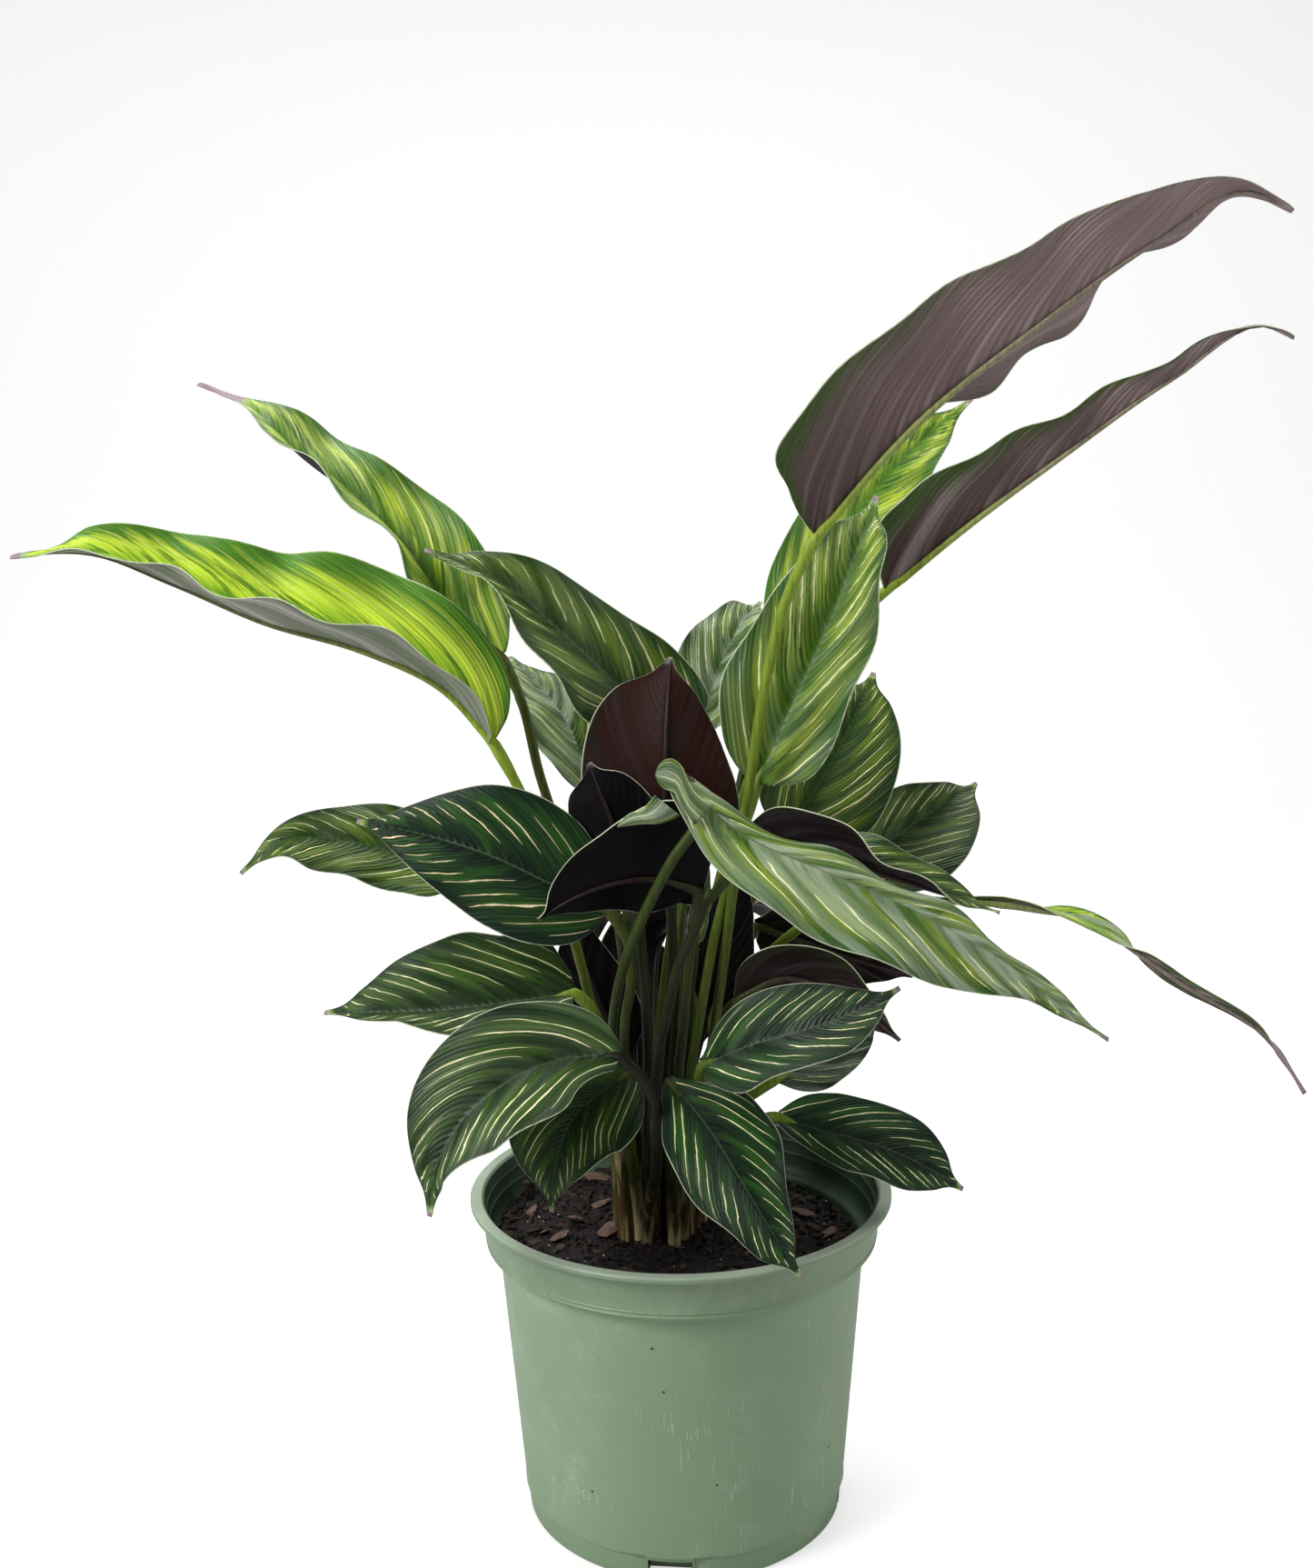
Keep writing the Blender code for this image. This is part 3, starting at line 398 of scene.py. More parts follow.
# Left and right are as seen from the leaf's base along the midrib, with the upper surface in view.
LEAVES = [
    # The five long leaves that reach out above the others
    leaf("leaf_top_right", (2.5, -18), [(14, -13, 200), (25, -28, 283)],
         [(50, -40, 381), (84, -45, 419), (123, -45, 449), (164, -40, 477), (197, -35, 494),
          (214, -30, 488)],
         [(-.6, .75, .3), (-.5, .8, .2), (-.2, .6, .8)],
         ((58, 52, 42, 38, 50, 20), (24, 27, 26, 24, 15, 7)), (15, (35, 33, 30, 24, 20, 8)), (5, 3.0),
         PURPLE),
    leaf("leaf_right_narrow", (2.5, .5), [(16, 30, 237), (48, 52, 318)],
         [(84, 30, 359), (114, 30, 383), (148, 25, 408), (189, 15, 437), (220, 5, 454), (228, 0, 449)],
         [(-.5, .5, .7), (-.5, .4, .8), (0, .5, .9)],
         (62, (23, 24, 20, 14, 9, 4)), (40, (26, 25, 20, 14, 9, 4)), (5, 2.5), PURPLE),
    leaf("leaf_left_high", (-23.5, 1), [(-38, 18, 238), (-54, 22, 294)],
         [(-67, 28, 336), (-85, 30, 352), (-103, 32, 379), (-123, 34, 399), (-144, 40, 415), (-163, 46, 433),
          (-187, 56, 444)],
         [(-.55, -.75, .4), (-.3, -.8, .5), (0, -.7, .7)],
         ((80, 84, 80, 75, 72, 70), (12, 14, 14, 12, 10, 4)), (-8, (22, 25, 21, 17, 15, 5)), (4, 2.5),
         YOUNG_GREEN),
    leaf("leaf_far_left", (-23.5, -8.5), [(-37, -10, 222), (-56, -14, 285)],
         [(-67, -16, 308), (-83, -20, 328), (-111, -25, 343), (-145, -30, 354), (-176, -32, 368),
          (-204, -34, 379), (-232, -34, 378)],
         [(.1, -.45, .88), (.1, -.45, .88)],
         (50, (20, 26, 25, 20, 13, 6)), (45, (22, 30, 31, 25, 19, 10)), (5, 2.5), YOUNG_GREEN),
    leaf("leaf_right_drooping", (-21, -22.5),
         [(-25, -36, 190), (-22, -50, 222), (-14, -61, 248), (-7, -64, 263), (1, -65, 276), (10, -65, 283),
          (8, -67, 295)],
         [(-2, -72, 304), (5, -75, 297), (17, -77, 286), (49, -84, 271), (75, -89, 260), (109, -92, 240),
          (128, -90, 224), (143, -86, 213)],
         [(-.1, -.6, .8), (.2, -.7, .7), (.3, -.75, .6)],
         (-32, (10, 19, 20, 18, 14, 9)), (-5, (10, 20, 24, 23, 16, 4)), (4, 2.0)),
    # The upright leaves at the back and in the middle
    leaf("leaf_back_right_high", (0, 5), [(17, 30, 232), (34, 55, 303)],
         [(42, 62, 326), (64, 80, 368), (97, 95, 408), (131, 105, 437)],
         [(.2, -.9, .4), (.2, -.8, .6)],
         (10, (12, 18, 20, 18, 14, 8)), (10, (16, 22, 22, 20, 16, 9)), (4, 2.0)),
    leaf("leaf_right_upright", (-3, -8.5), [(10, -18, 212), (24, -18, 268)],
         [(30, -18, 291), (45, -14, 323), (59, -5, 351), (78, 15, 395)],
         [(.1, -.95, .3), (-.1, -.9, .5)],
         (12, (20, 28, 26, 24, 19, 12)), (40, (22, 24, 25, 22, 17, 11)), (3, 2.0)),
    leaf("leaf_right_striped", (-2.5, .5), [(16, 10, 208), (35, 20, 249)],
         [(43, 24, 262), (56, 30, 280), (67, 36, 297), (82, 50, 325)],
         [(.1, -.9, .4), (-.1, -.8, .6)],
         (38, (22, 24, 24, 20, 15, 8)), (8, (18, 27, 28, 26, 21, 12)), (2, 1.5)),
    leaf("leaf_right_short", (2.5, 10), [(24, 32, 195), (55, 42, 232)],
         [(70, 42, 244), (85, 48, 253), (102, 55, 263), (128, 68, 276)],
         [(-.2, -.85, .6), (-.2, -.8, .7)],
         (50, (12, 15, 18, 17, 12, 6)), (0, (18, 25, 28, 27, 22, 14)), (2, 1.5)),
    leaf("leaf_back_centre", (-5.5, 5), [(0, 30, 202), (9, 60, 280)],
         [(12, 70, 299), (20, 85, 323), (30, 100, 341), (41, 122, 351)],
         [(0, -.8, .6), (.1, -.5, .9)],
         (15, (12, 17, 19, 17, 13, 8)), (20, (12, 17, 18, 16, 12, 7)), (3, 2.0)),
    leaf("leaf_left_upright", (-13, -8.5), [(-4, -2, 219), (4, 5, 274)],
         [(2, 8, 299), (-22, 5, 327), (-41, 0, 346), (-62, -8, 365), (-89, -18, 378)],
         [(-.1, -.85, .5), (.1, -.8, .6), (.2, -.6, .8)],
         (25, (18, 23, 26, 23, 18, 8)), (20, (24, 25, 21, 19, 15, 8)), (3, 2.0)),
    leaf("leaf_back_left", (-16, 5), [(-20, 30, 203), (-29, 50, 255)],
         [(-34, 56, 277), (-43, 70, 302), (-55, 85, 317), (-70, 100, 330)],
         [(.1, -.7, .7), (.3, -.6, .8)],
         (10, (11, 16, 18, 17, 14, 9)), (10, (11, 15, 15, 14, 10, 6)), (3, 2.0)),
    leaf("leaf_centre_upright", (-10.5, -13), [(-4, -15, 191), (-2, -16, 240)],
         [(-3, -18, 256), (-4, -24, 286), (-3, -20, 313), (-1, -8, 337)],
         [(0, .95, .2), (0, .95, .3), (0, .9, -.5)],
         (10, (24, 28, 27, 23, 18, 10)), (10, (20, 28, 31, 31, 28, 20)), (2, 1.5), PURPLE),
    leaf("leaf_centre_small", (-13, -18), [(-12, -22, 200), (-14, -26, 239)],
         [(-15, -28, 252), (-20, -32, 271), (-26, -32, 288), (-31, -28, 301)],
         [(0, .9, .4), (0, .9, .5)],
         (8, (8, 11, 15, 17, 15, 10)), (8, (7, 10, 13, 15, 15, 12)), (2, .8), PURPLE),
    leaf("leaf_centre_dark", (-10.5, -22.5), [(-8, -30, 190), (0, -39, 228)],
         [(7, -46, 257), (-7, -51, 263), (-24, -54, 262), (-38, -56, 257), (-49, -56, 250)],
         [(0, .95, .3), (0, .95, .3), (-.3, .9, .4)],
         (10, (23, 29, 24, 18, 13, 7)), (10, (14, 16, 15, 13, 9, 4)), (2, 1.5), PURPLE),
    # The leaves that spread to the sides
    leaf("leaf_right_folded", (-3, -18),
         [(0, -25, 186), (2, -28, 205), (4, -31, 226), (8, -35, 246), (19, -38, 261)],
         [(25, -38, 276), (44, -39, 273), (66, -41, 264), (85, -44, 258), (114, -48, 248)],
         [(.3, .8, .6), (.3, 0, 1), (.3, -.5, .8)],
         (40, (12, 16, 17, 14, 10, 5)), (30, (12, 16, 17, 14, 10, 5)), (3, 1.5), PURPLE),
    leaf("leaf_right_twisted", (7.5, -8.5), [(19, 0, 196), (47, -8, 234)],
         [(87, -15, 247), (124, -18, 244), (150, -20, 239), (186, -26, 215), (216, -30, 196),
          (231, -34, 174)],
         [(0, -.2, 1), (0, .85, .5), (0, -.85, .5), (0, .85, .4), (0, .5, .85), (0, -.9, .4)],
         (15, (2.6, 3.4, 3.6, 3.2, 2.8, 3.4)), (15, (2.6, 3.4, 3.6, 3.2, 2.8, 3.4)), (3, .4)),
    leaf("leaf_left_broad", (-18.5, -18), [(-20, -30, 204), (-18, -34, 236)],
         [(-25, -36, 248), (-46, -38, 259), (-67, -36, 269), (-90, -32, 276), (-116, -28, 281)],
         [(-.1, -.8, .6), (0, -.75, .65)],
         (-5, (18, 24, 24, 21, 16, 8)), (15, (16, 25, 27, 25, 18, 8)), (2, 1.5)),
    leaf("leaf_left_behind", (-21, -4), [(-45, 10, 209), (-71, 16, 243)],
         [(-84, 18, 250), (-109, 20, 259), (-129, 18, 265), (-152, 10, 267), (-167, 2, 256)],
         [(0, -.7, .7), (0, -.8, .6)],
         (0, (14, 16, 16, 15, 13, 5)), (15, (13, 18, 18, 14, 9, 4)), (3, 1.5)),
    leaf("leaf_left_low", (-23.5, -18), [(-28, -26, 184), (-32, -32, 210)],
         [(-38, -34, 217), (-62, -38, 215), (-88, -40, 213), (-112, -38, 212), (-130, -34, 211)],
         [(.1, -.75, .65), (.1, -.75, .65)],
         (40, (14, 22, 21, 15, 8, 3)), (15, (23, 25, 28, 25, 20, 9)), (2, 1.2)),
    leaf("leaf_left_arching", (-13, -27), [(-9, -57, 168), (-12, -65, 192)],
         [(-21, -66, 203), (-41, -67, 203), (-60, -73, 197), (-77, -77, 183), (-85, -81, 168),
          (-87, -83, 153)],
         [(.2, -.75, .6), (-.1, -.85, .5), (-.5, -.8, .3)],
         (33, (12, 22, 25, 24, 18, 9)), (10, (15, 22, 25, 24, 18, 8)), (3, 1.2)),
    leaf("leaf_front_left", (-16, -22.5), [(-19, -37, 171)],
         [(-17, -43, 190), (-28, -49, 185), (-39, -54, 176), (-45, -58, 161), (-47, -58, 143)],
         [(-.3, -.8, .5), (-.4, -.9, .3)],
         (5, (16, 22, 22, 19, 13, 5)), (30, (8, 15, 19, 21, 16, 6)), (2, 1.2)),
    leaf("leaf_front", (-3, -27), [(-4, -48, 170)],
         [(-4, -50, 188), (9, -66, 177), (21, -80, 161), (32, -88, 144), (40, -90, 132)],
         [(.3, -.7, .6), (.5, -.8, .3)],
         (5, (11, 21, 22, 18, 12, 6)), (-10, (9, 17, 19, 18, 13, 8)), (3, 1.2)),
    leaf("leaf_front_right", (0, -22.5), [(9, -40, 172)],
         [(8, -50, 194), (24, -62, 205), (38, -68, 211), (57, -70, 218), (75, -72, 228)],
         [(-.1, -.8, .6), (-.1, -.7, .7)],
         (10, (9, 15, 18, 17, 13, 6)), (10, (11, 17, 15, 15, 14, 8)), (2, 1.0)),
    leaf("leaf_right_low", (5, -13), [(18, -14, 150)],
         [(37, -20, 163), (53, -24, 159), (72, -28, 155), (90, -32, 148), (105, -34, 139)],
         [(0, -.7, .7), (.2, -.8, .6)],
         (0, (12, 16, 17, 17, 15, 9)), (15, (7, 11, 15, 15, 14, 8)), (2, 1.0)),
    leaf("leaf_back_right_low", (7.5, .5), [(22, 6, 157)],
         [(39, 12, 167), (54, 18, 171), (67, 20, 177), (81, 22, 187)],
         [(0, -.6, .8), (0, -.7, .7)],
         (5, (9, 12, 13, 12, 9, 5)), (5, (9, 12, 13, 12, 9, 5)), (2, 1.0)),
    leaf("leaf_back_right_dark", (5, 5), [(15, 12, 180), (27, 18, 220)],
         [(32, 20, 228), (50, 18, 222), (72, 12, 215), (92, 6, 210)],
         [(.2, .95, .3), (.2, .95, .3)],
         (10, (14, 21, 22, 19, 13, 6)), (10, (11, 15, 17, 16, 12, 6)), (2, 1.0), PURPLE),
    leaf("leaf_right_dark", (5, -4), [(12, -8, 173), (17, -10, 199)],
         [(23, -12, 207), (40, -14, 216), (56, -18, 213), (70, -24, 205), (82, -28, 195)],
         [(.2, .9, .4), (.4, .8, .4)],
         (8, (14, 23, 25, 21, 14, 6)), (8, (10, 14, 15, 14, 10, 5)), (2, 1.0), PURPLE),
    # The short inner leaves, and the rolled new leaf
    leaf("leaf_inner_left", (-16, -4), [(-19, 2, 167)],
         [(-21, 2, 181), (-31, 2, 203), (-37, 4, 222), (-38, 10, 240)],
         [(-.2, .9, .2), (-.2, .9, .3)],
         (10, (12, 15, 15, 13, 10, 5)), (10, (6, 12, 15, 14, 10, 5)), (1, .8), PURPLE),
    leaf("leaf_inner_olive", (-5.5, -4), [(14, 4, 169)],
         [(14, 4, 196), (18, 2, 219), (22, 2, 241), (24, 6, 259)],
         [(0, .9, .2), (0, .9, .3)],
         (10, (8, 11, 12, 10, 8, 4)), (10, (8, 11, 12, 10, 8, 4)), (1, .5)),
    leaf("leaf_new_spear", (-5.5, -13), [(3, -12, 189)],
         [(6, -12, 227), (9, -12, 246), (11, -12, 265)],
         [(0, -.9, .2), (0, -.9, .3)],
         (60, (3, 4, 4, 4, 3, 2)), (60, (3, 4, 4, 4, 3, 2)), (1, 0), PURPLE),
    # Three arching leaves behind the clump, which the front view hides
    leaf("leaf_back_low_left", (-13, 10), [(-17, 25, 189), (-19, 42, 219)],
         [(-20, 50, 228), (-32, 80, 227), (-42, 105, 211), (-47, 125, 181)],
         [(0, .2, 1), (0, .8, .6)],
         (15, (14, 21, 23, 21, 15, 8)), (15, (14, 21, 23, 21, 15, 8)), (3, 1.5)),
    leaf("leaf_back_low_middle", (-8, 10), [(-8, 30, 142)],
         [(-8, 42, 162), (-9, 46, 190), (-7, 55, 212), (-1, 78, 216), (8, 108, 201), (9, 135, 174)],
         [(0, .97, .2), (0, .9, .4), (0, .2, 1), (0, .8, .6)],
         (5, (24, 30, 24, 18, 14, 8)), (5, (23, 27, 20, 16, 13, 8)), (3, 1.5)),
    leaf("leaf_back_low_right", (-2.5, 10), [(9, 22, 189), (16, 38, 215)],
         [(18, 48, 224), (33, 78, 225), (52, 105, 210), (68, 125, 184)],
         [(0, .2, 1), (.3, .8, .6)],
         (15, (14, 21, 23, 21, 15, 8)), (15, (14, 21, 23, 21, 15, 8)), (3, 1.5)),
]


def unit(vectors):
    """The vectors with a length of 1."""
    return vectors / np.linalg.norm(vectors, axis=-1, keepdims=True)


CURVE_STEPS = 10


def smooth_curve(points, steps=CURVE_STEPS):
    """Points along the Catmull-Rom curve through the given ones, by chord length."""
    points = np.array(points, float)
    chord = np.linalg.norm(np.diff(points, axis=0), axis=1)[:, None]
    slope = np.diff(points, axis=0) / chord
    inner = (slope[:-1] * chord[1:] + slope[1:] * chord[:-1]) / (chord[:-1] + chord[1:])
    ends = 1.5 * slope[[0, -1]] - 0.5 * inner[[0, -1]] if len(inner) else slope[[0, -1]]
    tangent = np.vstack([ends[:1], inner, ends[1:]])
    found = []
    for i in range(len(points) - 1):
        s = np.linspace(0, 1, steps, endpoint=False)[:, None]
        start = (2 * s**3 - 3 * s**2 + 1) * points[i] + (3 * s**2 - 2 * s**3) * points[i + 1]
        bend = (s**3 - 2 * s**2 + s) * tangent[i] + (s**3 - s**2) * tangent[i + 1]
        found.append(start + chord[i] * bend)
    return np.vstack(found + [points[-1:]])


def spread(points, shares):
    """The points at these shares of a curve's length, and the length."""
    run = np.concatenate([[0], np.cumsum(np.linalg.norm(np.diff(points, axis=0), axis=1))])
    at = np.asarray(shares) * run[-1]
    return np.stack([np.interp(at, run, points[:, k]) for k in range(3)], axis=1), run[-1]


ROUTE_POINTS = 24
STRAIGHT_FOOT = 8


def petiole_route(item):
    """The stalk's middle line from the peat's top to the blade's base, as evenly spaced points."""
    x, y = item["root"]
    top = peat_height(math.hypot(x, y)) + STRAIGHT_ABOVE_PEAT
    points = [(x, y, top - STRAIGHT_FOOT), (x, y, top)] + item["petiole"] + item["midrib"][:2]
    return spread(smooth_curve(points)[CURVE_STEPS:-CURVE_STEPS], np.linspace(0, 1, ROUTE_POINTS))[0]


PARTING_ROUNDS = 80
PARTING_EVENED = 0.3
# Over so many points at its foot and its top a stalk is held more and more
FOOT_HELD, TOP_HELD = 4, 2


def part_petioles(routes):
    """Bends stalks that would cross clear of each other, with their feet and tops held."""
    drawn = np.array(routes)
    routes = drawn.copy()
    count, steps, _ = routes.shape
    reach = 2 * PETIOLE_RADIUS + PETIOLE_GAP
    place = np.arange(steps)
    hold = np.minimum(1, np.minimum(place / FOOT_HELD, (steps - 1 - place) / TOP_HELD))[None, :, None]
    for _ in range(PARTING_ROUNDS):
        push = np.zeros_like(routes)
        start = routes[:, :-1].reshape(-1, 3)
        along = routes[:, 1:].reshape(-1, 3) - start
        square = (along**2).sum(1)
        for i in range(count):
            away = routes[i][:, None] - start[None]
            share = np.clip((away * along).sum(2) / square, 0, 1)
            away -= share[:, :, None] * along
            apart = np.linalg.norm(away, axis=2)
            apart[:, i * (steps - 1) : (i + 1) * (steps - 1)] = np.inf
            nearest = apart.argmin(axis=1)
            gap = apart[place, nearest]
            close = gap < reach
            direction = away[place, nearest] / gap[:, None]
            push[i] += np.where(close, (reach - gap) * 0.5, 0)[:, None] * direction
        routes += push * hold
        moved = routes - drawn
        evened = 0.5 * moved[:, 1:-1] + 0.25 * (moved[:, :-2] + moved[:, 2:])
        routes[:, 1:-1] += (evened - moved[:, 1:-1]) * hold[:, 1:-1] * PARTING_EVENED
    return routes


TIP_WIDTH = 0.9
TIP_LEAST_SHARE = 0.4
NECK_WIDTH = 2.6
# Past the neck the width grows to this share of the first measure, and before the tip it falls to
# this share of the last one: each is a place along the blade and a share
ROUND_BASE = (0.03, 0.55)
DRAWN_OUT_TIP = (0.95, 0.22)
WIDTH_CURVE = 60


def half_width(share, widths):
    """The width of half a blade at a share of its length: a round base and a drawn-out tip."""
    places = (0.0, ROUND_BASE[0]) + STATIONS + (DRAWN_OUT_TIP[0], 1.0)
    base, tip = ROUND_BASE[1] * widths[0], DRAWN_OUT_TIP[1] * widths[-1]
    sizes = (NECK_WIDTH, base) + tuple(widths) + (tip, TIP_WIDTH)
    curve = smooth_curve([(WIDTH_CURVE * place, size, 0) for place, size in zip(places, sizes)])
    width = np.interp(np.asarray(share) * WIDTH_CURVE, curve[:, 0], curve[:, 1])
    return np.maximum(width, TIP_WIDTH * TIP_LEAST_SHARE)


STALK_STEPS = 80
BLADE_STEPS = 160
MIDRIB_STEPS = 24
EVENING = np.array([1, 2, 3, 2, 1]) / 9


def leaf_frame(item, route):
    """The middle line from the peat to the blade's tip, with the ways along, across and up."""
    even = np.linspace(0, 1, BLADE_STEPS + 1)
    blade, length = spread(smooth_curve(item["midrib"], MIDRIB_STEPS), even)
    stalk_line = smooth_curve(np.vstack([route[::3], route[-1:]]))
    stalk = spread(stalk_line, np.linspace(0, 1, STALK_STEPS + 1))[0][:-1]
    line = np.vstack([stalk, blade])
    ahead = unit(np.gradient(line, axis=0))
    padded = np.vstack([ahead[:1]] * 2 + [ahead] + [ahead[-1:]] * 2)
    ahead = unit(np.stack([np.convolve(padded[:, k], EVENING, "valid") for k in range(3)], axis=1))
    first = len(stalk)
    faces = unit(np.array(item["face"], float))
    at = np.linspace(0, 1, len(faces))
    up = np.stack([np.interp(even, at, faces[:, k]) for k in range(3)], axis=1)
    up = np.vstack([np.zeros((first, 3)), up])
    for i in range(len(line) - 1, -1, -1):
        if i < first:
            up[i] = up[i + 1]
        up[i] -= up[i] @ ahead[i] * ahead[i]
        up[i] /= np.linalg.norm(up[i])
    across = np.cross(ahead, up)
    return dict(line=line, ahead=ahead, up=up, across=across, first=first, length=length)


def along(spine, key, place):
    """A direction or point of the spine at fractional places along its rows."""
    rows = np.arange(len(spine["line"]))
    return np.stack([np.interp(place, rows, spine[key][:, k]) for k in range(3)], axis=1)


FOLD_FULL_WIDTH = 9.0
WAVE_SHIFT = 0.19
# The side veins lean towards the tip, more so on the long leaves and the nearer to the tip they start
VEIN_SWEEP = 1.75
LONG_LEAF_SWEEPS = {
    "leaf_top_right": 2.9, "leaf_right_narrow": 2.9, "leaf_far_left": 2.4, "leaf_left_high": 2.3,
    "leaf_right_twisted": 2.6,
}
VEIN_SWEEP_GAIN = 1.3
VEIN_BEND = 1.4
# Pairs of veins to a blade, unless that brings them closer or further apart than this
VEIN_PAIRS = 5.2
VEIN_SPACING = (12, 24)
# Each pleat starts off the midrib, rises over a share of the half width and ends before the margin
PLEAT_HEIGHT = 0.26
PLEAT_START, PLEAT_RISE, PLEAT_END = 0.06, 0.3, 0.12
PLEAT_FULL_WIDTH = 12
# Each half rounds up by this share of its width
CROWN = 0.035
CROWN_FULL_WIDTH = 8


def blade_points(item, spine, u, v):
    """Where the blade's points lie: u runs from base to tip, v across from -1 to 1."""
    place = spine["first"] + u * BLADE_STEPS
    middle, s = along(spine, "line", place), along(spine, "across", place)
    n = unit(along(spine, "up", place))
    v_abs, out = np.abs(v), np.where(v < 0, -1.0, 1.0)
    width, angle = np.zeros_like(u), np.zeros_like(u)
    for side, chosen in (("left", v < 0), ("right", v >= 0)):
        fold, widths = item[side]
        width = np.where(chosen, half_width(u, widths), width)
        turn = np.interp(u, STATIONS, fold) if isinstance(fold, tuple) else np.full_like(u, fold)
        angle = np.where(chosen, turn, angle)
    angle = np.radians(angle * np.minimum(1, width / FOLD_FULL_WIDTH))[:, None]
    out = out[:, None]
    sideways = np.cos(angle) * out * s + np.sin(angle) * n
    up = np.cos(angle) * n - np.sin(angle) * out * s
    fade = np.sqrt(np.clip(np.sin(np.pi * np.clip(u, 0, 1)), 0, 1))
    count, height = item["waves"]
    wave = height * v_abs**2 * fade * np.sin(2 * np.pi * (count * u + WAVE_SHIFT * out[:, 0]))
    out_share = v_abs**VEIN_BEND * width / spine["length"]
    sweep = LONG_LEAF_SWEEPS.get(item["name"], VEIN_SWEEP)
    vein = (u - sweep * out_share) / (1 + VEIN_SWEEP_GAIN * out_share)
    vein *= spine["length"] / np.clip(spine["length"] / VEIN_PAIRS, *VEIN_SPACING)
    shape = np.clip((v_abs - PLEAT_START) / PLEAT_RISE, 0, 1) * np.clip((1 - v_abs) / PLEAT_END, 0, 1) * fade
    pleat = PLEAT_HEIGHT * shape * np.sin(4 * np.pi * vein) * np.minimum(1, width / PLEAT_FULL_WIDTH)
    # The midrib lies in a shallow groove, and the halves round away from it
    rounding = np.sin(np.pi * np.clip(v_abs, 0, 1)) * np.minimum(1, width / CROWN_FULL_WIDTH)
    crown = CROWN * width * rounding
    points = middle + (v_abs * width)[:, None] * sideways + (wave + pleat + crown)[:, None] * up
    return points, vein


BLADE_THICKNESS = 0.4


def new_leaf_mesh():
    """An empty mesh, its map along and across the veins, and its layer for the leaf's nature."""
    bm = bmesh.new()
    return bm, bm.loops.layers.uv.new("veins"), bm.verts.layers.float_color.new("nature")


def thicken(bm):
    """Gives the upper side's faces their thickness, with the second material on the underside."""
    bm.normal_update()
    made = bmesh.ops.solidify(bm, geom=bm.faces[:], thickness=BLADE_THICKNESS * MM)["geom"]
    for part in made:
        if isinstance(part, bmesh.types.BMFace):
            part.material_index = 1


BLADE_ROW_LENGTH = 1.35
BLADE_LEAST_ROWS = 50
BLADE_COLUMNS = 32
# How much closer the rows lie at the base and tip, and the columns at the margin
END_CROWDING = 0.2
MARGIN_CROWDING = 0.25
# The share before the tip that has dried to a mauve grey, and its nature
DRIED_SHARE = 0.04
DRIED_SHARES = {"leaf_left_high": 0.25, "leaf_right_twisted": 0.5}
DRIED_TIP = (0.8, 0.0, 1.0, 0.2)
# So far apart on the map that no two leaves have the same pattern
MAP_STEP = 20


def add_blade(bm, item, spine, veins, nature, tone, number):
    """A grid bent to the blade's form and thickened, with its vein map and its nature."""
    rows = int(max(BLADE_LEAST_ROWS, spine["length"] / BLADE_ROW_LENGTH))
    bmesh.ops.create_grid(bm, x_segments=rows, y_segments=BLADE_COLUMNS, size=1.0)
    bm.verts.ensure_lookup_table()
    even = np.array([(vertex.co.x + 1) / 2 for vertex in bm.verts])
    u = (1 - END_CROWDING) * even + END_CROWDING * (0.5 - 0.5 * np.cos(np.pi * even))
    # Minus, so that the upper surface faces up
    flat = np.array([-vertex.co.y for vertex in bm.verts])
    v = np.sign(flat) * ((1 + MARGIN_CROWDING) * np.abs(flat) - MARGIN_CROWDING * np.abs(flat) ** 3)
    points, vein = blade_points(item, spine, u, v)
    dried_share = DRIED_SHARES.get(item["name"], DRIED_SHARE)
    dried = np.clip((u - 1 + dried_share) / (0.5 * dried_share), 0, 1)[:, None]
    natures = np.array(nature) * (1 - dried) + np.array(DRIED_TIP) * dried
    for i, vertex in enumerate(bm.verts):
        vertex.co = points[i] * MM
        vertex[tone] = natures[i]
    for face in bm.faces:
        for loop in face.loops:
            k = loop.vert.index
            loop[veins].uv = (vein[k] + MAP_STEP * number, v[k])
    thicken(bm)


STALK_ROWS = 86
STALK_SIDES = 14
# The stalk is thicker round a place just below the blade, and in its sheath above the peat
PULVINUS_RADIUS = 2.3
PULVINUS_BELOW_BLADE = 6
PULVINUS_REACH = 9
PULVINUS_STEEPNESS = 1.6
SHEATH_LENGTH = 70
SHEATH_THICKER = 0.75
# The midrib thins from the blade's base towards its tip, and stands out of the underside
MIDRIB_RADIUS = 1.15
MIDRIB_TIP_RADIUS = 0.25
MIDRIB_TAPER = 0.8
MIDRIB_START = 8
MIDRIB_END = 0.985
MIDRIB_OUT = 0.92
MIDRIB_CLEAR = 0.3
STALK_MAP_STEP = 100


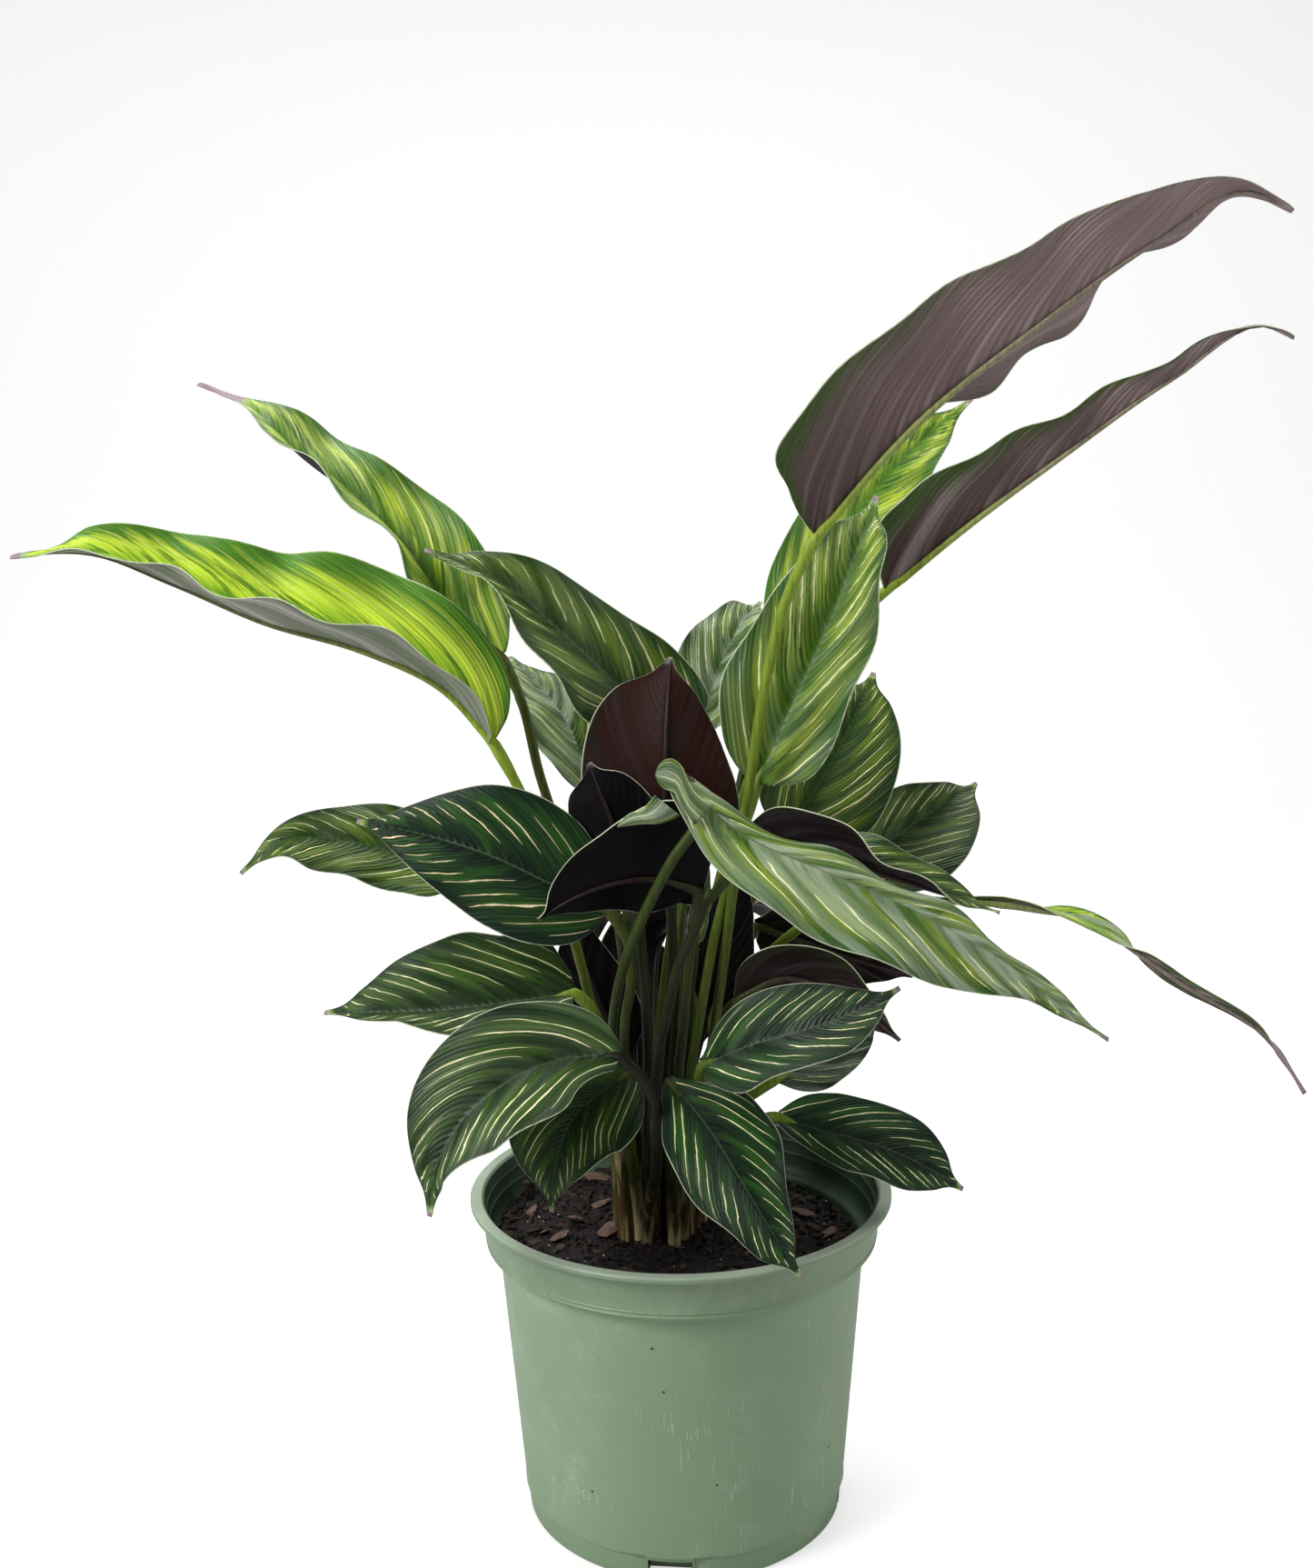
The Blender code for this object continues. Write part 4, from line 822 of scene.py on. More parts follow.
def add_stalk(bm, spine, veins, nature, tone):
    """The stalk, its thicker last millimetres, and the midrib under the blade, as one rolled-up grid."""
    first = spine["first"]
    line = spine["line"]
    run = np.concatenate([[0], np.cumsum(np.linalg.norm(np.diff(line, axis=0), axis=1))])
    stalk_length = run[first]
    before = set(bm.verts)
    bmesh.ops.create_grid(bm, x_segments=STALK_ROWS, y_segments=STALK_SIDES, size=1.0)
    made = [vertex for vertex in bm.verts if vertex not in before]
    even = np.array([(vertex.co.x + 1) / 2 for vertex in made])
    turn = np.array([math.pi * vertex.co.y for vertex in made])
    foot = -PETIOLE_DEPTH - STRAIGHT_ABOVE_PEAT
    distance = foot + even * (run[-1] * MIDRIB_END - foot)
    place = np.interp(distance, run, np.arange(len(run)))
    middle = along(spine, "line", place)
    middle[:, 2] += np.minimum(distance, 0)
    s, n = along(spine, "across", place), unit(along(spine, "up", place))
    blade_share = np.clip((distance - stalk_length) / (run[-1] - stalk_length), 0, 1)
    from_pulvinus = np.abs(distance - (stalk_length - PULVINUS_BELOW_BLADE))
    swell = np.minimum(1, PULVINUS_STEEPNESS * np.clip(1 - from_pulvinus / PULVINUS_REACH, 0, 1))
    sheath = np.clip(1 - distance / SHEATH_LENGTH, 0, 1)
    radius = PETIOLE_RADIUS + (PULVINUS_RADIUS - PETIOLE_RADIUS) * swell + SHEATH_THICKER * sheath
    midrib = MIDRIB_RADIUS * (1 - blade_share) ** MIDRIB_TAPER + MIDRIB_TIP_RADIUS
    on_blade = np.clip((distance - stalk_length) / MIDRIB_START, 0, 1)
    radius = radius * (1 - on_blade) + midrib * on_blade
    below = on_blade * (MIDRIB_OUT * radius + MIDRIB_CLEAR * BLADE_THICKNESS)
    ring = np.cos(turn)[:, None] * s + np.sin(turn)[:, None] * n
    points = middle - below[:, None] * n + radius[:, None] * ring
    for i, vertex in enumerate(made):
        vertex.co = points[i] * MM
        vertex[tone] = nature
    index = {vertex: i for i, vertex in enumerate(made)}
    for face in {face for vertex in made for face in vertex.link_faces}:
        for loop in face.loops:
            k = index[loop.vert]
            share = min(1, distance[k] / stalk_length) + blade_share[k]
            loop[veins].uv = (distance[k] / STALK_MAP_STEP, share)
    bmesh.ops.remove_doubles(bm, verts=made, dist=0.001 * MM)
    made = [vertex for vertex in made if vertex.is_valid]
    ends = {edge for vertex in made for edge in vertex.link_edges if edge.is_boundary}
    bmesh.ops.holes_fill(bm, edges=list(ends), sides=0)
    stalk_faces = list({face for vertex in made for face in vertex.link_faces})
    for face in stalk_faces:
        face.material_index = 2
    bmesh.ops.recalc_face_normals(bm, faces=stalk_faces)


def leaf_skin(name):
    """A leaf material, its tree, a point's place on the map, and the four figures of its nature."""
    made, tree = new_material(name)
    mapped = node(tree, "SeparateXYZ", node(tree, "UVMap", uv_map="veins"))
    nature = node(tree, "Attribute", attribute_name="nature")
    tones = node(tree, "SeparateColor", nature.outputs["Color"])
    return made, tree, mapped.outputs[0], mapped.outputs[1], [*tones.outputs, nature.outputs["Alpha"]]


def blade_place(tree, vein, across):
    """The share of the half width, which half it is, and the place that a blade's patterns read."""
    edge = node(tree, "Math", across, operation="ABSOLUTE")
    side = node(tree, "Math", across, operation="SIGN")
    return edge, side, node(tree, "CombineXYZ", vein, edge, side)


# Calathea leaf, upper side: satin, with dark blue-green along the midrib and round the margin, brighter
# green between, and cream to pink pinstripes in pairs along the side veins. A pair takes about 18 mm of
# the midrib, and a pattern's scale says how often it comes to a pair and to the half width.
upper_side, tree, vein, across, (youth, pink, pale, strength) = leaf_skin("calathea leaf upper side")
edge, side, vein_place = blade_place(tree, vein, across)
# Where a point lies between one pair of pinstripes and the next, which stray a little from the veins
drift_map = node(tree, "Mapping", vein_place, Scale=(0.5, 2.2, 7.3))
drift = node(tree, "TexNoise", drift_map, Scale=1.0, Detail=2.0)
strayed = node(tree, "MapRange", drift, To_Min=-0.2, To_Max=0.2)
row = node(tree, "Math", side, 0.23, vein, operation="MULTIPLY_ADD")
row_side = node(tree, "Math", row, strayed, operation="ADD")
pair = node(tree, "Math", row_side, operation="FLOOR")
within = node(tree, "Math", row_side, operation="FRACT")
pair_key = node(tree, "CombineXYZ", pair, side)
pair_luck = node(tree, "SeparateColor", node(tree, "TexWhiteNoise", pair_key).outputs["Color"])
centre = node(tree, "MapRange", pair_luck.outputs[0], To_Min=0.42, To_Max=0.58)
half_gap = node(tree, "MapRange", pair_luck.outputs[1], To_Min=0.17, To_Max=0.25)
off = node(tree, "Math", within, centre, operation="SUBTRACT")
off_abs = node(tree, "Math", off, operation="ABSOLUTE")
apart = node(tree, "Math", off_abs, half_gap, operation="SUBTRACT")
apart_abs = node(tree, "Math", apart, operation="ABSOLUTE")
which = node(tree, "Math", off, operation="SIGN")
stripe_key = node(tree, "CombineXYZ", pair, side, which)
stripe_luck = node(tree, "SeparateColor", node(tree, "TexWhiteNoise", stripe_key).outputs["Color"])
# Each pinstripe starts and stops at its own share of the half width, and thins out at both ends
starts = node(tree, "MapRange", stripe_luck.outputs[0], To_Min=0.18, To_Max=0.46)
stops = node(tree, "MapRange", stripe_luck.outputs[1], To_Min=0.72, To_Max=0.95)
from_start = node(tree, "Math", edge, starts, operation="SUBTRACT")
to_stop = node(tree, "Math", stops, edge, operation="SUBTRACT")
taper_in = node(tree, "MapRange", from_start, From_Max=0.2)
taper_out = node(tree, "MapRange", to_stop, From_Max=0.3)
taper = node(tree, "Math", taper_in, taper_out, operation="MULTIPLY")
taper_round = node(tree, "Math", taper, 0.6, operation="POWER")
# Half a stripe is 2 to 4 hundredths of the way from pair to pair, or about half a millimetre
heavy = node(tree, "MapRange", stripe_luck.outputs[2], To_Min=0.02, To_Max=0.042)
uneven_map = node(tree, "Mapping", vein_place, Scale=(2.0, 14.0, 7.3))
uneven_at = node(tree, "TexNoise", uneven_map, Scale=1.0, Detail=3.0)
uneven = node(tree, "MapRange", uneven_at, From_Min=0.3, From_Max=0.6, To_Min=0.45, To_Max=1.1)
half_even = node(tree, "Math", heavy, taper_round, operation="MULTIPLY")
half_stripe = node(tree, "Math", half_even, uneven, operation="MULTIPLY")
inside = node(tree, "Math", half_stripe, apart_abs, operation="SUBTRACT")
line = node(tree, "MapRange", inside, From_Min=-0.005, From_Max=0.004)
there = node(tree, "Math", taper, 0.02, operation="GREATER_THAN")
line_there = node(tree, "Math", line, there, operation="MULTIPLY")
stripe = node(tree, "Math", line_there, strength, operation="MULTIPLY")

# The greens run into each other in feathered lines along the fine veins
feather_map = node(tree, "Mapping", vein_place, Scale=(2.6, 1.1, 3.1))
feather = node(tree, "TexNoise", feather_map, Scale=1.0, Detail=5.0, Roughness=0.6)
shift = node(tree, "MapRange", feather, From_Min=0.25, From_Max=0.75, To_Min=-0.3, To_Max=0.3)
feathered = node(tree, "Math", edge, shift, operation="ADD")
past_middle = node(tree, "MapRange", feathered, From_Min=0.05, From_Max=0.4)
rim_reach = node(tree, "Math", youth, 0.16, feathered, operation="MULTIPLY_ADD")
before_edge = node(tree, "MapRange", rim_reach, From_Min=0.98, From_Max=0.68)
fine_map = node(tree, "Mapping", vein_place, Scale=(14.0, 0.7, 5.0))
fine = node(tree, "TexNoise", fine_map, Scale=1.0, Detail=4.0, Roughness=0.65)
rim_green = node(tree, "MixRGB", youth, "#13281B", "#5C9230")
band_green = node(tree, "MixRGB", youth, "#29511B", "#E2FA50")
middle_green = node(tree, "MixRGB", youth, "#0D1D15", "#76AC2F")
in_pair = node(tree, "MapRange", off_abs, From_Min=0.48, From_Max=0.2, To_Min=0.25)
# A young leaf is still the same light green from pair to pair
even_young = node(tree, "MapRange", youth, From_Min=0.5, To_Max=0.95)
band_between = node(tree, "Math", in_pair, even_young, operation="MAXIMUM")
before_rim = node(tree, "Math", before_edge, band_between, operation="MULTIPLY")
rim_band = node(tree, "MixRGB", before_rim, rim_green, band_green)
blade = node(tree, "MixRGB", past_middle, middle_green, rim_band)
# Dark splashes break up the bright green, and fine veins the whole blade
splash_map = node(tree, "Mapping", vein_place, Scale=(3.4, 1.5, 3.1))
splash_at = node(tree, "TexNoise", splash_map, Scale=1.0, Detail=6.0, Roughness=0.7)
splash_on = node(tree, "MapRange", splash_at, From_Min=0.52, From_Max=0.58, To_Max=0.9)
splash_near = node(tree, "MapRange", edge, From_Min=0.92, From_Max=0.4)
splash = node(tree, "Math", splash_on, splash_near, operation="MULTIPLY")
splash_dark = node(tree, "MixRGB", youth, "#142817", "#56862A")
splashed = node(tree, "MixRGB", splash, blade, splash_dark)
fine_tone = node(tree, "MapRange", fine, From_Min=0.3, From_Max=0.7, To_Min=0.6, To_Max=1.36)
veined = node(tree, "VectorMath", splashed, Scale=fine_tone, operation="SCALE")
# A pale leaf has a painted sheen, a silvery grey between the pinstripes of a pair
sheen_map = node(tree, "Mapping", vein_place, Scale=(2.7, 0.8, 2.3))
sheen_at = node(tree, "TexNoise", sheen_map, Scale=1.0, Detail=4.0)
sheen_on = node(tree, "MapRange", sheen_at, From_Min=0.4, From_Max=0.56)
sheen_here = node(tree, "Math", sheen_on, in_pair, operation="MULTIPLY")
painted_sheen = node(tree, "Math", sheen_here, pale, operation="MULTIPLY")
lit = node(tree, "MixRGB", painted_sheen, veined, "#A9B8A0")
cream = node(tree, "MixRGB", pink, "#FFFFC8", "#FFDCB8")
stripe_colour = node(tree, "MixRGB", youth, cream, "#E4EFA8")
striped = node(tree, "MixRGB", stripe, lit, stripe_colour)
on_midrib = node(tree, "MapRange", edge, From_Min=0.022, From_Max=0.008, To_Max=0.3)
ribbed = node(tree, "MixRGB", on_midrib, striped, "#5F8152")
on_rim = node(tree, "MapRange", edge, From_Min=0.984, From_Max=0.994, To_Max=0.9)
rimmed = node(tree, "MixRGB", on_rim, ribbed, "#D5DDB8")
dried = node(tree, "MapRange", pale, From_Min=0.92, From_Max=1.0)
withered = node(tree, "MixRGB", dried, rimmed, "#A08C90")
# Six fine ribs to a pair of pinstripes
rib_turn = node(tree, "Math", row_side, 12 * math.pi, operation="MULTIPLY")
ribs = node(tree, "Math", rib_turn, operation="SINE")
ribs_soft = node(tree, "MapRange", ribs, From_Min=-1.0, To_Max=0.8)
height = node(tree, "Math", ribs_soft, fine, operation="ADD")
relief = node(tree, "Bump", Height=height, Strength=0.5, Distance=0.5 * MM)
gloss = node(tree, "MapRange", fine, To_Min=0.3, To_Max=0.46)
shader = node(
    tree, "BsdfPrincipled", Base_Color=withered, Roughness=gloss, Normal=relief, IOR=1.42,
    Specular_IOR_Level=0.28,
)
node(tree, "OutputMaterial", shader)

# Calathea leaf, underside: matt wine purple to mauve-grey, with paler streaks along the side veins and
# a green zone at the margin; a young leaf is grey-green below.
under_side, tree, vein, across, (youth, pink, pale, strength) = leaf_skin("calathea leaf underside")
edge, side, vein_place = blade_place(tree, vein, across)
feather_map = node(tree, "Mapping", vein_place, Scale=(5.0, 1.4, 3.1))
feather = node(tree, "TexNoise", feather_map, Scale=1.0, Detail=5.0, Roughness=0.7)
shift = node(tree, "MapRange", feather, From_Min=0.25, From_Max=0.75, To_Min=-0.22, To_Max=0.22)
feathered = node(tree, "Math", edge, shift, operation="ADD")
# The two tallest leaves are still green towards their bases, which are 37 to 48 cm above the floor
up = node(tree, "SeparateXYZ", node(tree, "TexCoord").outputs["Object"]).outputs["Z"]
towards_base = node(tree, "MapRange", up, From_Min=485 * MM, From_Max=370 * MM, To_Max=0.5)
base_side = node(tree, "MapRange", side, From_Min=-1.0, From_Max=1.0, To_Min=0.3)
base_green = node(tree, "Math", towards_base, base_side, operation="MULTIPLY")
base_pale = node(tree, "Math", base_green, pale, feathered, operation="MULTIPLY_ADD")
green_rim = node(tree, "MapRange", base_pale, From_Min=0.88, From_Max=1.2, To_Max=0.85)
deeper = node(tree, "MapRange", up, From_Min=370 * MM, From_Max=490 * MM, To_Min=0.1)
ripe = node(tree, "MixRGB", deeper, "#37241F", "#A48E8E")
purple = node(tree, "MixRGB", pale, "#080508", ripe)
warmth = node(tree, "MapRange", pink, From_Min=0.5)
wine = node(tree, "MixRGB", warmth, purple, "#341B15")
streak_map = node(tree, "Mapping", vein_place, Scale=(1.2, 0.25, 3.1))
streak_at = node(tree, "TexNoise", streak_map, Scale=1.0, Detail=3.0, Roughness=0.6)
streak = node(tree, "MapRange", streak_at, From_Min=0.48, From_Max=0.72, To_Max=0.75)
streak_colour = node(tree, "MixRGB", pale, "#150D13", "#BBABAB")
streaked = node(tree, "MixRGB", streak, wine, streak_colour)
young_below = node(tree, "MapRange", youth, From_Min=0.75, From_Max=0.95)
young_grey = node(tree, "MixRGB", streak, "#848C76", "#F0E8E6")
below = node(tree, "MixRGB", young_below, streaked, young_grey)
rim_colour = node(tree, "MixRGB", pale, "#141B0D", "#466428")
rimmed = node(tree, "MixRGB", green_rim, below, rim_colour)
fine_map = node(tree, "Mapping", vein_place, Scale=(16.0, 0.7, 5.0))
fine = node(tree, "TexNoise", fine_map, Scale=1.0, Detail=4.0, Roughness=0.65)
fine_tone = node(tree, "MapRange", fine, From_Min=0.3, From_Max=0.7, To_Min=0.76, To_Max=1.24)
veined = node(tree, "VectorMath", rimmed, Scale=fine_tone, operation="SCALE")
on_rim = node(tree, "MapRange", edge, From_Min=0.984, From_Max=0.994, To_Max=0.9)
edged = node(tree, "MixRGB", on_rim, veined, "#D5D9C4")
# Four ribs to a pair of pinstripes, which show more on a pale leaf
rib_turn = node(tree, "Math", vein, 8 * math.pi, operation="MULTIPLY")
ribs = node(tree, "Math", rib_turn, operation="SINE")
height = node(tree, "Math", ribs, fine, operation="ADD")
embossed = node(tree, "MapRange", pale, To_Min=0.03, To_Max=0.4)
relief = node(tree, "Bump", Height=height, Strength=embossed, Distance=0.4 * MM)
gloss = node(tree, "MapRange", fine, To_Min=0.4, To_Max=0.56)
shader = node(
    tree, "BsdfPrincipled", Base_Color=edged, Roughness=gloss, Normal=relief, IOR=1.38,
    Specular_IOR_Level=0.16,
)
node(tree, "OutputMaterial", shader)

# Calathea stalk: juicy, faintly ribbed, olive-brown sheath near the peat and clearer green above, and
# yellow-green on a young leaf. Its map runs to 1 at the blade's base and to 2 at the midrib's end.
stalk_skin, tree, run, share, (youth, wine_tone, pale, strength) = leaf_skin("calathea stalk")
place = node(tree, "TexCoord").outputs["Object"]
fibre_map = node(tree, "Mapping", place, Scale=per_metre(1.11, 1.11, 33.3))
fibre = node(tree, "TexNoise", fibre_map, Scale=1.0, Detail=3.0)
stain = node(tree, "TexNoise", place, Scale=per_metre(22.2), Detail=4.0)
risen = node(tree, "MapRange", share, From_Min=0.4, From_Max=0.95, To_Min=0.25)
fresh = node(tree, "Math", youth, risen, operation="MULTIPLY")
grown = node(tree, "MixRGB", fresh, "#18240F", "#9AB43A")
low = node(tree, "MapRange", share, From_Min=0.34, From_Max=0.02)
low_stained = node(tree, "Math", low, stain, operation="MULTIPLY")
low_more = node(tree, "MapRange", low_stained, From_Max=0.5)
streak_map = node(tree, "Mapping", place, Scale=per_metre(2.38, 2.38, 83.3))
streak_at = node(tree, "TexNoise", streak_map, Scale=1.0, Detail=2.0)
cream_on = node(tree, "MapRange", streak_at, From_Min=0.46, From_Max=0.62)
sheath = node(tree, "MixRGB", cream_on, "#5E4B30", "#C6B888")
sheathed = node(tree, "MixRGB", low_more, grown, sheath)
wined = node(tree, "MixRGB", wine_tone, sheathed, "#1E1413")
wine_rib = node(tree, "MixRGB", pale, "#241716", "#857373")
lively = node(tree, "MapRange", youth, From_Min=0.6, From_Max=0.8, To_Max=0.7)
to_tip = node(tree, "MapRange", share, From_Min=1.2, From_Max=1.7, To_Min=1.0, To_Max=0.3)
lively_rib = node(tree, "Math", lively, to_tip, operation="MULTIPLY")
below_blade = node(tree, "MixRGB", lively_rib, wine_rib, "#A8B272")
on_blade = node(tree, "MapRange", share, From_Min=1.03, From_Max=1.4)
midribbed = node(tree, "MixRGB", on_blade, wined, below_blade)
fibre_tone = node(tree, "MapRange", fibre, From_Min=0.3, From_Max=0.7, To_Min=0.7, To_Max=1.3)
ribbed = node(tree, "VectorMath", midribbed, Scale=fibre_tone, operation="SCALE")
relief = node(tree, "Bump", Height=fibre, Strength=0.35, Distance=0.4 * MM)
shader = node(
    tree, "BsdfPrincipled", Base_Color=ribbed, Roughness=0.4, Normal=relief, IOR=1.4,
    Specular_IOR_Level=0.3,
)
node(tree, "OutputMaterial", shader)

# Each leaf's nature, from 0 to 1: how young it is, how pink its stripes are, how pale it is and how
# strong the stripes are, then how young and how wine-red its stalk is
NATURES = {
    "leaf_top_right": ((.45, .2, .85, .6), (.75, 0)),
    "leaf_right_narrow": ((.45, .2, .92, .6), (.8, 0)),
    "leaf_left_high": ((.66, 0, .15, .7), (.3, .3)),
    "leaf_far_left": ((1, 0, 0, .5), (1, 0)),
    "leaf_right_drooping": ((.3, .1, .7, 1), (.12, 0)),
    "leaf_back_right_high": ((.68, .1, .05, .6), (.2, .2)),
    "leaf_right_upright": ((.32, .1, .12, .9), (.45, 0)),
    "leaf_right_striped": ((.15, .5, 0, 1), (.2, .3)),
    "leaf_right_short": ((.1, .3, .1, 1), (.2, .2)),
    "leaf_back_centre": ((.2, .1, .5, .8), (.3, .2)),
    "leaf_left_upright": ((.17, .1, .1, .8), (.7, 0)),
    "leaf_back_left": ((.15, .1, .45, .6), (.2, .4)),
    "leaf_centre_upright": ((.1, .9, .05, .8), (.1, .5)),
    "leaf_centre_small": ((0, .3, 0, .8), (.1, .5)),
    "leaf_centre_dark": ((0, .3, 0, .8), (.1, .6)),
    "leaf_right_folded": ((.1, .3, .1, .8), (.2, .4)),
    "leaf_right_twisted": ((.78, .1, .92, .5), (.7, 0)),
    "leaf_left_broad": ((0, .8, 0, 1), (.25, .4)),
    "leaf_left_behind": ((.15, .1, .12, .9), (.3, .2)),
    "leaf_left_low": ((.05, .2, .05, .9), (.65, 0)),
    "leaf_left_arching": ((.05, .15, .1, 1), (0, .5)),
    "leaf_front_left": ((.05, .2, 0, .8), (.3, .2)),
    "leaf_front": ((0, .3, 0, 1), (.15, .2)),
    "leaf_front_right": ((0, .3, .08, 1), (.25, .1)),
    "leaf_right_low": ((0, .2, .04, 1), (.4, .1)),
    "leaf_back_right_low": ((0, .1, .4, .8), (.6, 0)),
    "leaf_inner_olive": ((.5, 0, .1, .15), (.5, .1)),
    "leaf_right_dark": ((0, .3, .3, .8), (.2, .3)),
    "leaf_back_right_dark": ((0, .3, .22, .8), (.2, .3)),
    "leaf_new_spear": ((.2, .1, .2, .3), (.2, .5)),
}
PLAIN_NATURE = ((.1, .3, .05, .9), (.1, .4))
routes = part_petioles([petiole_route(item) for item in LEAVES])
for number, (item, route) in enumerate(zip(LEAVES, routes)):
    blade_nature, (stalk_youth, stalk_wine) = NATURES.get(item["name"], PLAIN_NATURE)
    spine = leaf_frame(item, route)
    bm, veins, tone = new_leaf_mesh()
    add_blade(bm, item, spine, veins, blade_nature, tone, number)
    add_stalk(bm, spine, veins, (stalk_youth, stalk_wine, blade_nature[2], 1.0), tone)
    grown_leaf = finished(item["name"][5:] + "_leaf", bm, [upper_side, under_side, stalk_skin])
    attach(grown_leaf, "root")
    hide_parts(item["name"])


# Turned-over margins: the tip of the dark middle leaf has folded forward and shows its striped upper
# side, and the base of the drooping leaf curls up in a small round lobe. Both are the same blades.
TURNED_STEPS = 18
TURNED_ROWS = 10
TURNED_BULGE = 0.7
# Where a margin starts on the leaf's map and how far it reaches, in pairs of veins and in half widths
TURNED_VEINS = (0.4, 1.7)
TURNED_WIDTH = (0.2, 0.75)


def add_turned_margin(name, node_name, rails, nature):
    """A sheet of leaf between two margins, each through measured points in millimetres."""
    sides = [spread(smooth_curve(rail), np.linspace(0, 1, TURNED_STEPS + 1))[0] for rail in rails]
    bm, veins, tone = new_leaf_mesh()
    bmesh.ops.create_grid(bm, x_segments=TURNED_STEPS, y_segments=TURNED_ROWS, size=1.0)
    bm.verts.ensure_lookup_table()
    for vertex in bm.verts:
        step, over = round((vertex.co.x + 1) / 2 * TURNED_STEPS), (vertex.co.y + 1) / 2
        point = sides[0][step] * over + sides[1][step] * (1 - over)
        # The sheet bulges a little towards the front
        point[1] -= TURNED_BULGE * math.sin(math.pi * over)
        vertex.co = point * MM
        vertex[tone] = nature
    for face in bm.faces:
        for loop in face.loops:
            row, column = divmod(loop.vert.index, TURNED_STEPS + 1)
            vein = TURNED_VEINS[0] + TURNED_VEINS[1] * row / TURNED_ROWS
            loop[veins].uv = (vein, TURNED_WIDTH[0] + TURNED_WIDTH[1] * column / TURNED_STEPS)
    thicken(bm)
    turned = finished(name, bm, [upper_side, under_side])
    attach(turned, "root")
    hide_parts(node_name)


FOLDED_TIP_RAILS = (
    [(-20.7, -58.6, 283.4), (-16.5, -58.0, 287.4), (-12.4, -57.6, 288.8), (-7.7, -57, 293.8)],
    [(-20.5, -59.0, 282.8), (-13.3, -59.5, 283.8), (-4.4, -58.5, 284.1), (1.2, -55.5, 286.0)],
)
CURLED_BASE_RAILS = (
    [(5.2, -82.6, 287.6), (2.2, -80.6, 291.8), (0.4, -79.2, 295.4), (-1.2, -78.6, 297.8),
     (-3.9, -78.0, 298.8), (-6.2, -77.0, 300.6), (-7.4, -76.0, 303.2)],
    [(12.2, -78.5, 293.2), (6.6, -77.6, 297.0), (3.4, -75.5, 302.0), (1.6, -74.2, 306.2),
     (-2.0, -74.2, 308.8), (-5.4, -74.8, 307.6), (-7.2, -75.6, 304.0)],
)
add_turned_margin("folded_leaf_tip", "leaf_centre_dark", FOLDED_TIP_RAILS, (0.25, 0.1, 0.9, 1.0))
add_turned_margin("curled_leaf_base", "leaf_right_drooping", CURLED_BASE_RAILS, (0.2, 0.1, 0.6, 0.8))


# Bark chips: small broken bits of composted pine bark, 3 to 9 mm, that were mixed into the peat and
# lie loose on it round the stalks.
STREWN_RADIUS = 73
# The higher this power is, the more of the bits are small
MOSTLY_SMALL = 2.2
WALL_ROOM = 0.4
JAG = 0.3
JAGS_PER_METRE = 900
# A bit commonly tips by this many radians
TILT = 0.35


def scatter(name, finish, count, low, high, flat, rounds, seed, clear):
    """Strews rough bits of low to high millimetres on the peat, at least clear from a stalk's middle."""
    luck = np.random.default_rng(seed)
    bm = bmesh.new()
    roots = np.array([item["root"] for item in LEAVES])
    for _ in range(count):
        angle, radius = luck.uniform(0, 2 * math.pi), STREWN_RADIUS * math.sqrt(luck.uniform())
        x, y = radius * math.cos(angle), radius * math.sin(angle)
        size = low + (high - low) * luck.uniform() ** MOSTLY_SMALL
        room = wall_radius(peat_top(x, y)) - radius
        if np.hypot(*(roots - (x, y)).T).min() < clear + size / 2 or room < size / 2 + WALL_ROOM:
            continue
        made = bmesh.ops.create_icosphere(bm, subdivisions=rounds, radius=size / 2 * MM)["verts"]
        shape = (luck.uniform(0.5, 1.0), luck.uniform(0.5, 1.0), flat * luck.uniform(0.6, 1.2))
        for vertex in made:
            jag = 1 + JAG * noise.noise(vertex.co * JAGS_PER_METRE + Vector((x, y, 0)))
            vertex.co = Vector([vertex.co[k] * shape[k] * jag for k in range(3)])
        tilt = Matrix.Rotation(luck.normal(0, TILT), 3, "X") @ Matrix.Rotation(luck.normal(0, TILT), 3, "Y")
        spin_round = Matrix.Rotation(luck.uniform(0, 2 * math.pi), 3, "Z")
        bmesh.ops.rotate(bm, cent=(0, 0, 0), matrix=tilt @ spin_round, verts=made)
        rest = peat_top(x, y) + 0.25 * size * flat
        bmesh.ops.translate(bm, vec=(x * MM, y * MM, rest * MM), verts=made)
    bits = finished(name, bm, [finish])
    bits.data.shade_flat()
    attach(bits, "root")
    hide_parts("peat")


# Composted pine bark: red-brown to grey-brown, dull, with a fine layered grain.
bark, tree = new_material("composted bark")
place = node(tree, "TexCoord").outputs["Object"]
piece_at = node(tree, "TexVoronoi", place, Scale=per_metre(6.25))
piece_tone = node(tree, "SeparateColor", piece_at.outputs["Color"])
layers = node(tree, "TexNoise", place, Scale=per_metre(1.43), Detail=5.0)
brown = node(tree, "MixRGB", piece_tone.outputs[0], "#241A15", "#5E4636")
grained = node(tree, "MixRGB", layers, "#0F0B09", brown)
relief = node(tree, "Bump", Height=layers, Strength=0.6, Distance=0.6 * MM)
shader = node(tree, "BsdfPrincipled", Base_Color=grained, Roughness=0.85, Normal=relief)
node(tree, "OutputMaterial", shader)
scatter("bark_chips", bark, count=230, low=3.0, high=9.0, flat=0.3, rounds=2, seed=11, clear=4.2)


